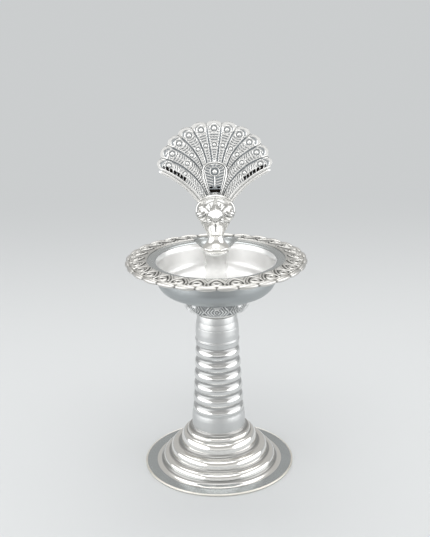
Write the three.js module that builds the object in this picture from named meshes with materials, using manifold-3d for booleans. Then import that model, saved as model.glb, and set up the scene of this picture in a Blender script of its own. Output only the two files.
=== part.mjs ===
// Standing oil lamp: a stepped base, a ribbed pillar, an open oil bowl with an ornamental border,
// and a peacock finial with a fan tail that lifts out of the socket post in the bowl.
// Millimetres, +Z up. The lamp's axis is the Z axis, the base stands on z = 0, and -Y is the front.

import * as THREE from 'three';
import * as BufferGeometryUtils from 'three/addons/utils/BufferGeometryUtils.js';
import Module from 'manifold-3d';

const wasm = await Module();
wasm.setup();

// Sheet and fits
const WALL = 0.7;                  // spun sheet of the base and the bowl
const SOLDER_GAP = 0.3;            // room left between pieces that are soldered on a curved seat
const SLIP_FIT = 0.1;              // radial room of a ring or disc that slips over or into a tube
const PIN_FIT = 0.1;               // radial room of the finial's pin in its bores

// Tie rod, nut and washer that hold the lamp together
const ROD_R = 2.0;
const ROD_HOLE_R = 2.3;
const ROD_BELOW_NUT = 0.8;
const NUT_ACROSS_FLATS = 7;
const NUT_HEIGHT = 3.2;
const WASHER_R = 6;
const WASHER_THICK = 1;

// Base: a flat flange and a dome of four rounded steps
const FLANGE_R = 32;
const FLANGE_THICK = 0.8;
const FLANGE_INNER_R = 26.4;
const FOOT_COVE = 1.8;
const FOOT_COVE_BEND = { out: 0.6, up: 0.65 };   // the cove's middle: beside the first step, above the flange
const EDGE_WIRE_R = 0.45;
const BASE_STEPS = [
  { side: 24.3, top: 4.9, round: 1.7, cove: 1.1 },
  { side: 20.85, top: 9.0, round: 1.7, cove: 1.1 },
  { side: 16.2, top: 14.5, round: 1.9, cove: 0.4 },
  { side: 13.6, top: 16.1, round: 0.7, cove: 1.6 },
];
const BASE_SEAT_R = 11.45;
const BASE_TOP_Z = 17.7;
const BASE_SEGMENTS = 28;

// Pillar: a tapered tube with rounded ribs
const PILLAR_FOOT_R = 11.3;
const PILLAR_BORE_FOOT_R = 9.6;
const PILLAR_BORE_TOP_R = 7.1;
const PILLAR_HEIGHT = 52;
const RIB_COUNT = 6;
const RIB_PITCH = 5.2;
const FIRST_RIB_ABOVE_FOOT = 7.9;
const FIRST_RIB_R = 11.0;
const LAST_RIB_R = 9.4;
const GROOVE_DEPTH = 0.8;
const LOWER_BAND_DOWN = 2.6;       // from the first rib to the top of the plain lower band
const LOWER_BAND_DIP = 0.2;        // the shallow hollow between that band and the first rib
const PLAIN_BAND_R = 9.1;
const THIN_RIDGE_R = 9.3;
const THIN_RIDGE_DOWN = 12.65;     // from the pillar's top
const THIN_RIDGE_HALF = 0.6;
const NECK_BAND_R = 9.1;
const NECK_BAND_UP = 3;            // from the thin ridge to the band's widest place
const NECK_BAND_HEIGHT = 7.2;      // from the thin ridge to the band's top
const NECK_BAND_TAPER = 0.35;
const NECK_R = 7.7;
const NECK_FLARE = 0.5;
const NECK_HEIGHT = 1.5;
const TOP_RING_R = 8.3;
const TOP_RING_ROUND = { in: 0.15, up: 0.4 };
const TOP_RING_HEIGHT = 1.3;
const DISC_THICK = 2.4;
const PILLAR_SEGMENTS = 24;

// Lotus calyx between the pillar and the bowl
const CALYX_FOOT_R = 8.8;
const CALYX_R = 13.2;
const CALYX_WIDEST_UP = 3.2;
const CALYX_HEIGHT = 7.6;
const CALYX_TOP_R = 11.4;
const PETAL_COUNT = 8;
const PETAL_R = 3.9;
const PETAL_RISE = 0.9;

// Bowl
const BOWL_FLAT_R = 17.1;
const BOWL_WALL_R = 24.7;
const BOWL_LIP_R = 25.1;
const BOWL_CORNER_HEIGHT = 6.8;
const BOWL_DEPTH = 13.7;           // from the flange's top down to the floor inside
const PLAIN_FLANGE_WIDTH = 3.1;    // from the lip to where the flange starts to droop under the ornament
const BORDER_DROOP = 1.2;
const BOWL_SEGMENTS = 32;

// Wick rest: a scoop pressed into the flange at the back
const SCOOP_HALF_WIDTH = 9.5;
const SCOOP_CENTRE_Y = 28;
const SCOOP_HALF_LENGTH = 8;
const SCOOP_DEPTH = 4.4;

// Ornamental border
const MOTIF_COUNT = 28;
const MOTIFS_LEFT_OUT = 3;         // the wick rest interrupts the ornament
const STRIP_THICK = 0.8;
const STRIP_SET_BACK = 0.4;        // from the start of the droop to the strip
const STRIP_SET_IN = 0.2;          // from the strip to the flange's edge
const MOTIF_LENGTH = 5.7;
const MOTIF_MARGIN = 0.27;         // strip left bare at either end of a motif
const MOTIF_HALF_WIDTH = 2.9;
const MOTIF_RIM = 0.9;
const MOTIF_RISE = 0.8;
const BEAD_TUBE_MIN = 0.6;
const BEAD_TUBE_MAX = 1.06;
const BEAD_RING_DOWN = 0.7;        // the ring's centre lies this far below the flange's flat top

// Socket post and the finial's pin
const SEAL_R = 4.4;
const SEAL_THICK = 0.6;
const POST_FOOT_R = 4.6;
const POST_WAIST_R = 4.3;
const POST_RIM_R = 5.3;
const POST_HEIGHT = 16.6;
const POST_THREAD_DEPTH = 6;
const PIN_R = 1.6;
const PIN_SOCKET_DEPTH = 8.7;
const PIN_IN_FOOT = 5.2;
const PEG_SEGMENTS = 16;

// Peacock
const FOOT_FLARE_R = 5.65;
const FOOT_HEIGHT = 6.4;
const WAIST_R = 3.05;
const LEG_TOP_R = 7.1;
const LEG_HEIGHT = 8;
const BODY_UP = 10.8;              // from the waist to the body's centre
const BODY_HALF = { x: 7.7, y: 6.2, z: 5.6 };
const HOOD_TUBE_R = 0.95;
const HOOD_HALF_WIDTH = 7.0;
const HOOD_RISE = 6.1;
const HOOD_Y = -0.6;
const WING_HALF = { x: 2.3, y: 2.9, z: 3.1 };
const WING_OUT = 5.6;
const WING_FORWARD = 3.6;
const WING_DROP = 0.4;
const NECK_KEEL_THICK = 1.6;
const NECK_REACH = 8.4;            // how far the neck stands out in front of the axis
const BEAK_HALF_WIDTH = 1.5;
const BEAK_LENGTH = 4.2;

// Fan tail, in the fan's own plane: x across, s up from the root
const TAIL_LEAN = THREE.MathUtils.degToRad(4);
const TAIL_Y = 2.6;
const TAIL_ROOT_UP = 12.4;         // from the waist to s = 0
const FAN_THICK = 0.9;
const FAN_CENTRE_S = 13.5;
const FAN_HALF_WIDTH = 23.3;
const FAN_HALF_HEIGHT = 20.1;
const FEATHERS_PER_SIDE = 5;
const FEATHER_STEP = THREE.MathUtils.degToRad(16.3);
const VALLEY_SHARE = 0.95;
const LOBE_BOW_SHARE = 1.066;      // where the curve between two dips is drawn to
const FAN_TIP = { x: 21.9, s: 14.5 };
const FAN_ROOT = { x: 5.2, s: 0.7 };
const FAN_EDGE_BOW = { x: 11.0, s: 9.8 };
const FAN_TAB_S = -3;
const FAN_RIBS = [                 // from the middle outwards: where each rib starts and how it bends
  { root: [2.0, 18.3], bow: [2.4, 24] },
  { root: [4.7, 17.2], bow: [4.3, 24.3] },
  { root: [5.3, 15.4], bow: [7.2, 22.8] },
  { root: [5.2, 12.6], bow: [8.7, 19.3] },
  { root: [2.8, 3.4], bow: [6.3, 13.6] },
];
const RIB_WIDTH = 0.7;
const RIB_HEIGHT = 0.55;
const RIB_END_SHARE = 0.98;        // a rib stops just inside the dip
const EYE_R = 1.2;
const EYE_ROW = { x: 18.5, s: 17.0 };
const SMALL_EYE_R = 0.95;
const SMALL_EYE_ROW = { x: 12, s: 10.5, drop: 0.02 };
const EDGE_TUBE_R = 0.75;
const CENTRE_FEATHER = { top: 17.5, foot: 3.5, wideAt: 13.2, half: 5.0, footHalf: 2.3, thick: 0.7 };
const CENTRE_RIM = { width: 0.9, rise: 0.5 };
const CENTRE_EYE_R = 1.3;
const CENTRE_EYE_S = 13.4;
const STEM_WIDTH = 0.6;
const STEM_FOOT_S = 7.4;

// Heights that follow from the sizes above
const PILLAR_TOP_Z = BASE_TOP_Z + PILLAR_HEIGHT;
const BOWL_BOTTOM_Z = PILLAR_TOP_Z + CALYX_HEIGHT;
const BOWL_FLOOR_Z = BOWL_BOTTOM_Z + WALL;
const FLANGE_TOP_Z = BOWL_FLOOR_Z + BOWL_DEPTH;
const POST_BOTTOM_Z = BOWL_FLOOR_Z + SEAL_THICK;
const POST_TOP_Z = POST_BOTTOM_Z + POST_HEIGHT;
const WAIST_Z = POST_TOP_Z + FOOT_HEIGHT;
const BODY_Z = WAIST_Z + BODY_UP;
const NUT_TOP_Z = BASE_TOP_Z - WALL - WASHER_THICK;

// Radii of the border, from the bowl's lip outwards
const BORDER_SEAT_R = BOWL_LIP_R + PLAIN_FLANGE_WIDTH;
const STRIP_INNER_R = BORDER_SEAT_R + STRIP_SET_BACK;
const STRIP_OUTER_R = STRIP_INNER_R + MOTIF_LENGTH + 2 * MOTIF_MARGIN;
const BOWL_EDGE_R = STRIP_OUTER_R + STRIP_SET_IN;
const BEAD_RING_R = BOWL_EDGE_R + SLIP_FIT + BEAD_TUBE_MAX;
const MOTIF_STEP = (2 * Math.PI) / MOTIF_COUNT;
const BEYOND = 3 * BEAD_RING_R;    // reach of a cutting body that clears the whole lamp sideways

// Finishes
const finish = (color, roughness) => () => new THREE.MeshStandardMaterial({ color, roughness, metalness: 1 });
const polishedSilver = finish(0xe6e4df, 0.12);
const satinSilver = finish(0xc9ccce, 0.32);
const castSilver = finish(0xd6d2c8, 0.24);
const plainSteel = finish(0x9a9c9e, 0.4);
const fibre = () => new THREE.MeshStandardMaterial({ color: 0x5a3a2a, roughness: 0.8, metalness: 0 });

const point = (x, y) => new THREE.Vector2(x, y);

function signedVolume(geometry) {
  const { array } = geometry.attributes.position;
  const index = geometry.index.array;
  const corners = [new THREE.Vector3(), new THREE.Vector3(), new THREE.Vector3()];
  let sum = 0;
  for (let i = 0; i < index.length; i += 3) {
    corners.forEach((corner, k) => corner.fromArray(array, 3 * index[i + k]));
    sum += corners[0].dot(corners[1].clone().cross(corners[2])) / 6;
  }
  return sum;
}

// One closed body: corners shared, flat triangles dropped, faces pointing out.
function closedBody(geometry) {
  const bare = geometry.clone();
  bare.deleteAttribute('normal');
  bare.deleteAttribute('uv');
  const merged = BufferGeometryUtils.mergeVertices(bare, 1e-5);
  const index = merged.index.array;
  const kept = [];
  for (let i = 0; i < index.length; i += 3) {
    const [a, b, c] = [index[i], index[i + 1], index[i + 2]];
    if (a !== b && b !== c && c !== a) kept.push(a, b, c);
  }
  merged.setIndex(kept);
  if (signedVolume(merged) < 0) {
    for (let i = 0; i < kept.length; i += 3) [kept[i], kept[i + 1]] = [kept[i + 1], kept[i]];
    merged.setIndex(kept);
  }
  return merged;
}

function toManifold(geometry) {
  const body = closedBody(geometry);
  return new wasm.Manifold(new wasm.Mesh({
    numProp: 3,
    vertProperties: new Float32Array(body.attributes.position.array),
    triVerts: new Uint32Array(body.index.array),
  }));
}

function fromManifold(manifold) {
  const mesh = manifold.getMesh();
  const geometry = new THREE.BufferGeometry();
  geometry.setAttribute('position', new THREE.BufferAttribute(new Float32Array(mesh.vertProperties), 3));
  geometry.setIndex(Array.from(mesh.triVerts));
  return geometry;
}

const joined = (first, ...others) =>
  fromManifold(others.reduce((sum, other) => sum.add(toManifold(other)), toManifold(first)));

const cutBy = (first, ...others) =>
  fromManifold(others.reduce((rest, other) => rest.subtract(toManifold(other)), toManifold(first)));

// A body turned about Z from a profile of (radius, height) points that closes on itself or on the axis.
function turned(profile, segments) {
  const points = profile.map(([radius, height]) => point(radius, height));
  if (profile[0][0] > 0) points.push(points[0].clone());
  return closedBody(new THREE.LatheGeometry(points, segments).rotateX(Math.PI / 2));
}

const cylinder = (radius, low, high, segments) =>
  turned([[0, low], [radius, low], [radius, high], [0, high]], segments);

const ring = (inner, outer, low, high, segments) =>
  turned([[inner, low], [outer, low], [outer, high], [inner, high]], segments);

const box = (x0, x1, y0, y1, z0, z1) =>
  new THREE.BoxGeometry(x1 - x0, y1 - y0, z1 - z0).translate((x0 + x1) / 2, (y0 + y1) / 2, (z0 + z1) / 2);

const ellipsoid = (half, centre, around, rows) =>
  closedBody(new THREE.SphereGeometry(1, around, rows).rotateX(Math.PI / 2)
    .scale(half.x, half.y, half.z).translate(centre.x, centre.y, centre.z));

const grown = (half, by) => ({ x: half.x + by, y: half.y + by, z: half.z + by });

// Points of a quarter round from angle a0 to a1, in degrees, about a centre.
function arcPoints(centreR, centreZ, halfR, halfZ, a0, a1, steps) {
  return Array.from({ length: steps + 1 }, (_, i) => {
    const angle = THREE.MathUtils.degToRad(a0 + ((a1 - a0) * i) / steps);
    return [centreR + halfR * Math.cos(angle), centreZ + halfZ * Math.sin(angle)];
  });
}

const model = new THREE.Group();

function addPiece(name, geometry, material, parent = model) {
  const mesh = new THREE.Mesh(closedBody(geometry), material());
  mesh.name = name;
  parent.add(mesh);
  return mesh;
}

// Base

function baseShell() {
  const nextSide = (i) => (i + 1 < BASE_STEPS.length ? BASE_STEPS[i + 1].side : BASE_SEAT_R);
  const rimR = FLANGE_R - 2 * EDGE_WIRE_R - SLIP_FIT;
  const outside = [[rimR, 0], [rimR, FLANGE_THICK], [FLANGE_INNER_R, FLANGE_THICK]];
  outside.push([BASE_STEPS[0].side + FOOT_COVE_BEND.out, FLANGE_THICK + FOOT_COVE_BEND.up]);
  outside.push([BASE_STEPS[0].side, FLANGE_THICK + FOOT_COVE]);
  const inside = [[FLANGE_INNER_R - WALL, 0], [BASE_STEPS[0].side - WALL, FOOT_COVE]];
  BASE_STEPS.forEach(({ side, top, round, cove }, i) => {
    outside.push(...arcPoints(side - round, top - round, round, round, 0, 90, 2));
    outside.push(...arcPoints(nextSide(i) + cove, top + cove, cove, cove, 270, 180, 2));
    inside.push([side - WALL, top - round], [side - round, top - WALL], [nextSide(i) - WALL, top - WALL]);
  });
  outside.push([BASE_SEAT_R, BASE_TOP_Z], [ROD_HOLE_R, BASE_TOP_Z], [ROD_HOLE_R, BASE_TOP_Z - WALL]);
  inside.push([BASE_SEAT_R - WALL, BASE_TOP_Z - WALL]);
  return turned([...outside, ...inside.reverse()], BASE_SEGMENTS);
}

function edgeWire() {
  const centre = FLANGE_R - EDGE_WIRE_R;
  return turned(arcPoints(centre, EDGE_WIRE_R, EDGE_WIRE_R, EDGE_WIRE_R * 1.2, 0, 300, 5)
    .map(([r, z]) => [r, z + EDGE_WIRE_R * 0.2]), BASE_SEGMENTS);
}

function hexNut() {
  const cornerR = NUT_ACROSS_FLATS / 2 / Math.cos(Math.PI / 6);
  const blank = new THREE.CylinderGeometry(cornerR, cornerR, NUT_HEIGHT, 6).rotateX(Math.PI / 2)
    .translate(0, 0, NUT_TOP_Z - NUT_HEIGHT / 2);
  return cutBy(blank, cylinder(ROD_HOLE_R, NUT_TOP_Z - NUT_HEIGHT - 1, NUT_TOP_Z + 1, 16));
}

// Pillar

function pillarTube() {
  const ribZ = (i) => BASE_TOP_Z + FIRST_RIB_ABOVE_FOOT + RIB_PITCH * i;
  const ribR = (i) => FIRST_RIB_R + ((LAST_RIB_R - FIRST_RIB_R) * i) / (RIB_COUNT - 1);
  const half = RIB_PITCH / 2;
  const outside = [[PILLAR_FOOT_R, BASE_TOP_Z], [PILLAR_FOOT_R, ribZ(0) - LOWER_BAND_DOWN]];
  outside.push([FIRST_RIB_R - LOWER_BAND_DIP, ribZ(0) - LOWER_BAND_DOWN / 2]);
  for (let i = 0; i < RIB_COUNT; i += 1) {
    if (i > 0) {
      outside.push([ribR(i) - GROOVE_DEPTH, ribZ(i) - half]);
      outside.push([ribR(i) - 0.4 * GROOVE_DEPTH, ribZ(i) - 0.78 * half]);
    }
    outside.push([ribR(i), ribZ(i) - 0.3 * half], [ribR(i), ribZ(i) + 0.3 * half]);
    outside.push([ribR(i) - 0.4 * GROOVE_DEPTH, ribZ(i) + 0.78 * half]);
  }
  const ridgeZ = PILLAR_TOP_Z - THIN_RIDGE_DOWN;
  outside.push([LAST_RIB_R - GROOVE_DEPTH, ribZ(RIB_COUNT - 1) + half]);
  outside.push([PLAIN_BAND_R, ribZ(RIB_COUNT - 1) + 1.2 * half], [PLAIN_BAND_R, ridgeZ - THIN_RIDGE_HALF]);
  outside.push([THIN_RIDGE_R, ridgeZ], [PLAIN_BAND_R - 0.1, ridgeZ + THIN_RIDGE_HALF]);
  outside.push([NECK_BAND_R, ridgeZ + NECK_BAND_UP]);
  outside.push([NECK_BAND_R - NECK_BAND_TAPER, ridgeZ + NECK_BAND_HEIGHT]);
  outside.push([NECK_R + NECK_FLARE, PILLAR_TOP_Z - NECK_HEIGHT], [NECK_R, PILLAR_TOP_Z - NECK_HEIGHT]);
  outside.push([NECK_R, PILLAR_TOP_Z]);
  const inside = [[PILLAR_BORE_TOP_R, PILLAR_TOP_Z], [PILLAR_BORE_FOOT_R, BASE_TOP_Z]];
  return turned([...outside, ...inside], PILLAR_SEGMENTS);
}

function boreAt(z) {
  const share = (z - BASE_TOP_Z) / PILLAR_HEIGHT;
  return PILLAR_BORE_FOOT_R + (PILLAR_BORE_TOP_R - PILLAR_BORE_FOOT_R) * share;
}

// A disc with the bore's taper that keeps the rod in the middle of the tube.
const centringDisc = (low, high) => turned([
  [ROD_HOLE_R, low], [boreAt(low) - SLIP_FIT, low], [boreAt(high) - SLIP_FIT, high], [ROD_HOLE_R, high],
], PILLAR_SEGMENTS / 2);

function pillarTopRing() {
  const [low, high] = [PILLAR_TOP_Z - TOP_RING_HEIGHT, PILLAR_TOP_Z];
  const inner = NECK_R + SLIP_FIT;
  const edge = TOP_RING_R - TOP_RING_ROUND.in;
  return turned([[inner, low], [edge, low], [TOP_RING_R, low + TOP_RING_ROUND.up],
    [TOP_RING_R, high - TOP_RING_ROUND.up], [edge, high], [inner, high]], PILLAR_SEGMENTS);
}

// Calyx: a bulging cast ring with a raised, six-sided lotus petal eight times round

function lotusCalyx() {
  const widestZ = PILLAR_TOP_Z + CALYX_WIDEST_UP;
  const blank = turned([
    ...arcPoints(CALYX_FOOT_R, widestZ, CALYX_R - CALYX_FOOT_R, CALYX_WIDEST_UP, -90, 0, 3),
    ...arcPoints(CALYX_TOP_R, widestZ, CALYX_R - CALYX_TOP_R, CALYX_HEIGHT - CALYX_WIDEST_UP, 0, 90, 3)
      .slice(1),
    [ROD_HOLE_R, BOWL_BOTTOM_Z], [ROD_HOLE_R, PILLAR_TOP_Z]], PETAL_COUNT * 3);
  const petals = Array.from({ length: PETAL_COUNT }, (_, i) =>
    new THREE.CylinderGeometry(PETAL_R * 0.35, PETAL_R, 2 * PETAL_RISE, 6)
      .scale(1, 1, 0.8)
      .translate(0, CALYX_R + PETAL_RISE * 0.1, 0)
      .rotateZ(Math.PI + (i * 2 * Math.PI) / PETAL_COUNT)
      .translate(0, 0, widestZ + 0.3));
  const relief = joined(blank, ...petals);
  return cutBy(relief, ring(CALYX_TOP_R, CALYX_R + 5, BOWL_BOTTOM_Z - SOLDER_GAP, BOWL_BOTTOM_Z + 5, 24));
}

// Bowl

const flangeTopAt = (radius) =>
  FLANGE_TOP_Z - (BORDER_DROOP * Math.max(0, radius - BORDER_SEAT_R)) / (BEAD_RING_R - BORDER_SEAT_R);

function bowlShell() {
  const cornerTop = BOWL_BOTTOM_Z + BOWL_CORNER_HEIGHT;
  const corner = (inset) => arcPoints(BOWL_FLAT_R, cornerTop, BOWL_WALL_R - BOWL_FLAT_R - inset,
    BOWL_CORNER_HEIGHT - inset, -90, 0, 4);
  const clear = BOWL_EDGE_R + 3;
  const above = FLANGE_TOP_Z + 6;
  const filled = turned([[0, BOWL_BOTTOM_Z], ...corner(0), [BOWL_LIP_R, FLANGE_TOP_Z - 1.6],
    [BOWL_LIP_R + WALL, FLANGE_TOP_Z - WALL], [BORDER_SEAT_R, FLANGE_TOP_Z - WALL],
    [BOWL_EDGE_R, flangeTopAt(BOWL_EDGE_R) - WALL], [BOWL_EDGE_R, above], [0, above]], BOWL_SEGMENTS);
  const space = turned([[0, BOWL_FLOOR_Z], ...corner(WALL), [BOWL_LIP_R - WALL, FLANGE_TOP_Z - 1],
    [BOWL_LIP_R, FLANGE_TOP_Z], [BORDER_SEAT_R, FLANGE_TOP_Z],
    [clear, flangeTopAt(clear)], [clear, above + 1], [0, above + 1]], BOWL_SEGMENTS);
  const centre = { x: 0, y: SCOOP_CENTRE_Y, z: FLANGE_TOP_Z };
  const scoop = { x: SCOOP_HALF_WIDTH, y: SCOOP_HALF_LENGTH, z: SCOOP_DEPTH };
  const pressed = cutBy(ellipsoid(grown(scoop, WALL), centre, 16, 10),
    box(-BEYOND, BEYOND, STRIP_OUTER_R, BEYOND, 0, 2 * FLANGE_TOP_Z));
  const wall = cutBy(joined(filled, pressed), space, ellipsoid(scoop, centre, 16, 10));
  return cutBy(wall, cylinder(ROD_HOLE_R, BOWL_BOTTOM_Z - 1, BOWL_FLOOR_Z + 1, 16));
}

// Border: a cast strip of almond rings, open at the wick rest, and a beaded wire round the edge

function almond(length, halfWidth) {
  const shape = new THREE.Shape();
  shape.moveTo(-length / 2, 0);
  shape.quadraticCurveTo(-length * 0.05, -1.75 * halfWidth, length / 2, -0.25 * halfWidth);
  shape.lineTo(length / 2, 0.25 * halfWidth);
  shape.quadraticCurveTo(-length * 0.05, 1.75 * halfWidth, -length / 2, 0);
  return shape;
}

function almondRing() {
  const shape = almond(MOTIF_LENGTH, MOTIF_HALF_WIDTH);
  shape.holes.push(almond(MOTIF_LENGTH - 3 * MOTIF_RIM, MOTIF_HALF_WIDTH - MOTIF_RIM));
  const height = STRIP_THICK * 0.5 + MOTIF_RISE;
  return new THREE.ExtrudeGeometry(shape, { depth: height, curveSegments: 2, bevelEnabled: false });
}

function rimOrnament() {
  const low = (radius) => flangeTopAt(radius) + SOLDER_GAP;
  const band = turned([[STRIP_INNER_R, low(STRIP_INNER_R)], [STRIP_OUTER_R, low(STRIP_OUTER_R)],
    [STRIP_OUTER_R, low(STRIP_OUTER_R) + 0.6 * STRIP_THICK],
    [STRIP_INNER_R + 0.3, low(STRIP_INNER_R) + STRIP_THICK]], MOTIF_COUNT).rotateZ(MOTIF_STEP / 2);
  const gapHalf = (MOTIFS_LEFT_OUT / 2) * MOTIF_STEP;
  const [across, back] = [BEYOND * Math.sin(gapHalf), BEYOND * Math.cos(gapHalf)];
  const gap = new THREE.Shape([point(0, 0), point(across, back), point(-across, back)]);
  const wedge = new THREE.ExtrudeGeometry(gap, { depth: 2 * FLANGE_TOP_Z, bevelEnabled: false });
  const middle = (STRIP_INNER_R + STRIP_OUTER_R) / 2;
  const slope = Math.atan2(BORDER_DROOP, BEAD_RING_R - BORDER_SEAT_R);
  const motifs = [];
  for (let i = 0; i < MOTIF_COUNT - MOTIFS_LEFT_OUT; i += 1) {
    const fromBack = (i + 1 + (MOTIFS_LEFT_OUT - 1) / 2) * MOTIF_STEP;
    motifs.push(almondRing().rotateY(slope).translate(middle, 0, low(middle) + 0.5 * STRIP_THICK)
      .rotateZ(Math.PI / 2 + fromBack));
  }
  return joined(cutBy(band, wedge), ...motifs);
}

// A closed ring whose tube swells into one long bead between each two motifs.
function beadedWire() {
  const stepsPerBead = 4;
  const steps = MOTIF_COUNT * stepsPerBead;
  const sides = 5;
  const positions = [];
  const index = [];
  for (let i = 0; i < steps; i += 1) {
    const along = (i * 2 * Math.PI) / steps;
    const swell = Math.abs(Math.cos((i * Math.PI) / stepsPerBead));
    const tube = BEAD_TUBE_MIN + (BEAD_TUBE_MAX - BEAD_TUBE_MIN) * Math.sqrt(swell);
    for (let k = 0; k < sides; k += 1) {
      const round = (k * 2 * Math.PI) / sides;
      const radius = BEAD_RING_R + tube * Math.cos(round);
      const height = FLANGE_TOP_Z - BEAD_RING_DOWN + tube * Math.sin(round);
      positions.push(radius * Math.cos(along), radius * Math.sin(along), height);
      const [a, b] = [i * sides + k, i * sides + ((k + 1) % sides)];
      const [c, d] = [((i + 1) % steps) * sides + k, ((i + 1) % steps) * sides + ((k + 1) % sides)];
      index.push(a, c, b, b, c, d);
    }
  }
  const geometry = new THREE.BufferGeometry();
  geometry.setAttribute('position', new THREE.Float32BufferAttribute(positions, 3));
  geometry.setIndex(index);
  return geometry.rotateZ((Math.PI + MOTIF_STEP) / 2);
}

// Socket post and pin

function socketPost() {
  const socketFloor = POST_TOP_Z - PIN_SOCKET_DEPTH;
  return turned([[0, POST_BOTTOM_Z + POST_THREAD_DEPTH], [ROD_HOLE_R, POST_BOTTOM_Z + POST_THREAD_DEPTH],
    [ROD_HOLE_R, POST_BOTTOM_Z], [POST_FOOT_R, POST_BOTTOM_Z], [POST_FOOT_R, POST_BOTTOM_Z + 0.8],
    [POST_WAIST_R, POST_BOTTOM_Z + 1.6], [POST_RIM_R - 0.15, POST_TOP_Z - 0.6], [POST_RIM_R, POST_TOP_Z],
    [PIN_R + PIN_FIT, POST_TOP_Z], [PIN_R + PIN_FIT, socketFloor], [0, socketFloor]], PEG_SEGMENTS);
}

const finialPin = () =>
  cylinder(PIN_R, POST_TOP_Z - PIN_SOCKET_DEPTH, POST_TOP_Z + PIN_IN_FOOT, PEG_SEGMENTS);

// Peacock

function birdFoot() {
  const boreTop = POST_TOP_Z + PIN_IN_FOOT + SLIP_FIT;
  return turned([[PIN_R + PIN_FIT, POST_TOP_Z], [POST_RIM_R, POST_TOP_Z], [FOOT_FLARE_R, POST_TOP_Z + 1.1],
    [FOOT_FLARE_R - 0.1, POST_TOP_Z + 1.9], [FOOT_FLARE_R - 1.1, POST_TOP_Z + 2.7],
    [WAIST_R + 0.6, POST_TOP_Z + 4], [WAIST_R + 0.1, POST_TOP_Z + 5.6], [WAIST_R, WAIST_Z], [0, WAIST_Z],
    [0, boreTop], [PIN_R + PIN_FIT, boreTop]].reverse(), PEG_SEGMENTS);
}

const bodyCentre = { x: 0, y: 0, z: BODY_Z };

function hoodArch(tube) {
  const path = new THREE.CatmullRomCurve3(Array.from({ length: 9 }, (_, i) => {
    const angle = Math.PI * (1.08 - (1.16 * i) / 8);
    return new THREE.Vector3(HOOD_HALF_WIDTH * Math.cos(angle), HOOD_Y,
      BODY_Z - 0.7 + HOOD_RISE * Math.sin(angle));
  }));
  const section = new THREE.Shape(Array.from({ length: 6 }, (_, i) =>
    point(tube * Math.cos((i * Math.PI) / 3), tube * Math.sin((i * Math.PI) / 3))));
  return new THREE.ExtrudeGeometry(section, { steps: 14, extrudePath: path });
}

// The whole body in the round, before it is split into its two stamped halves.
function birdBody(by) {
  const legs = new THREE.CylinderGeometry(LEG_TOP_R + by, WAIST_R + by, LEG_HEIGHT, 8)
    .rotateX(Math.PI / 2).scale(1, 0.85, 1).translate(0, 0, WAIST_Z + LEG_HEIGHT / 2);
  return joined(legs, ellipsoid(grown(BODY_HALF, by), bodyCentre, 16, 10), hoodArch(HOOD_TUBE_R + by));
}

const birdHalf = (side) => cutBy(birdBody(0),
  box(...(side < 0 ? [0, BEYOND] : [-BEYOND, 0]), -BEYOND, BEYOND, 0, 2 * BODY_Z));

const wing = (side) => cutBy(
  ellipsoid(WING_HALF, { x: side * WING_OUT, y: -WING_FORWARD, z: BODY_Z - WING_DROP }, 10, 6),
  birdBody(SOLDER_GAP),
);

function neckAndHead() {
  const side = new THREE.Shape();
  const top = BODY_Z + BODY_HALF.z + 0.2;
  side.moveTo(HOOD_Y - 0.6, top);
  side.quadraticCurveTo(-NECK_REACH * 0.85, top, -NECK_REACH, BODY_Z + 0.6);
  side.lineTo(-NECK_REACH + 0.9, BODY_Z - 2.4);
  side.lineTo(-BODY_HALF.y * 0.7, BODY_Z - 1);
  side.lineTo(HOOD_Y - 0.6, BODY_Z + 3);
  const stoodUp = new THREE.Matrix4().makeBasis(new THREE.Vector3(0, 1, 0), new THREE.Vector3(0, 0, 1),
    new THREE.Vector3(1, 0, 0));
  const extent = { depth: NECK_KEEL_THICK, curveSegments: 6, bevelEnabled: false };
  const keel = new THREE.ExtrudeGeometry(side, extent)
    .translate(0, 0, -NECK_KEEL_THICK / 2)
    .applyMatrix4(stoodUp);
  const beak = new THREE.ConeGeometry(BEAK_HALF_WIDTH * 1.3, BEAK_LENGTH, 4).rotateX(-Math.PI / 2)
    .scale(1, 0.9, 1).translate(0, -NECK_REACH + 1.5, BODY_Z - 1.0);
  return cutBy(joined(keel, beak), birdBody(SOLDER_GAP));
}

// Fan tail. The plate is drawn in x and s and stood up in the tail's group.

const ellipsePoint = (half, angle, centreS = FAN_CENTRE_S) =>
  point(half.x * Math.sin(angle), centreS + half.s * Math.cos(angle));
const shareOfFan = (share) => ({ x: FAN_HALF_WIDTH * share, s: FAN_HALF_HEIGHT * share });

function fanOutline() {
  const shape = new THREE.Shape();
  shape.moveTo(-FAN_ROOT.x * 0.8, FAN_TAB_S);
  shape.lineTo(-FAN_ROOT.x, FAN_ROOT.s);
  shape.quadraticCurveTo(-FAN_EDGE_BOW.x, FAN_EDGE_BOW.s, -FAN_TIP.x, FAN_TIP.s);
  for (let k = -FEATHERS_PER_SIDE; k <= FEATHERS_PER_SIDE; k += 1) {
    const apex = ellipsePoint(shareOfFan(LOBE_BOW_SHARE), k * FEATHER_STEP);
    const valley = k < FEATHERS_PER_SIDE
      ? ellipsePoint(shareOfFan(VALLEY_SHARE), (k + 0.5) * FEATHER_STEP) : point(FAN_TIP.x, FAN_TIP.s);
    shape.quadraticCurveTo(apex.x, apex.y, valley.x, valley.y);
  }
  shape.quadraticCurveTo(FAN_EDGE_BOW.x, FAN_EDGE_BOW.s, FAN_ROOT.x, FAN_ROOT.s);
  shape.lineTo(FAN_ROOT.x * 0.8, FAN_TAB_S);
  return shape;
}

// Stands a shape drawn in x and s upright, with its thickness from y = back towards the front.
const stood = (geometry, back) => geometry.rotateX(Math.PI / 2).translate(0, back, 0);

const plate = (shape, thick, back, curveSegments) =>
  stood(new THREE.ExtrudeGeometry(shape, { depth: thick, curveSegments, bevelEnabled: false }), back);

const FAN_FRONT = -FAN_THICK / 2;

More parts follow.
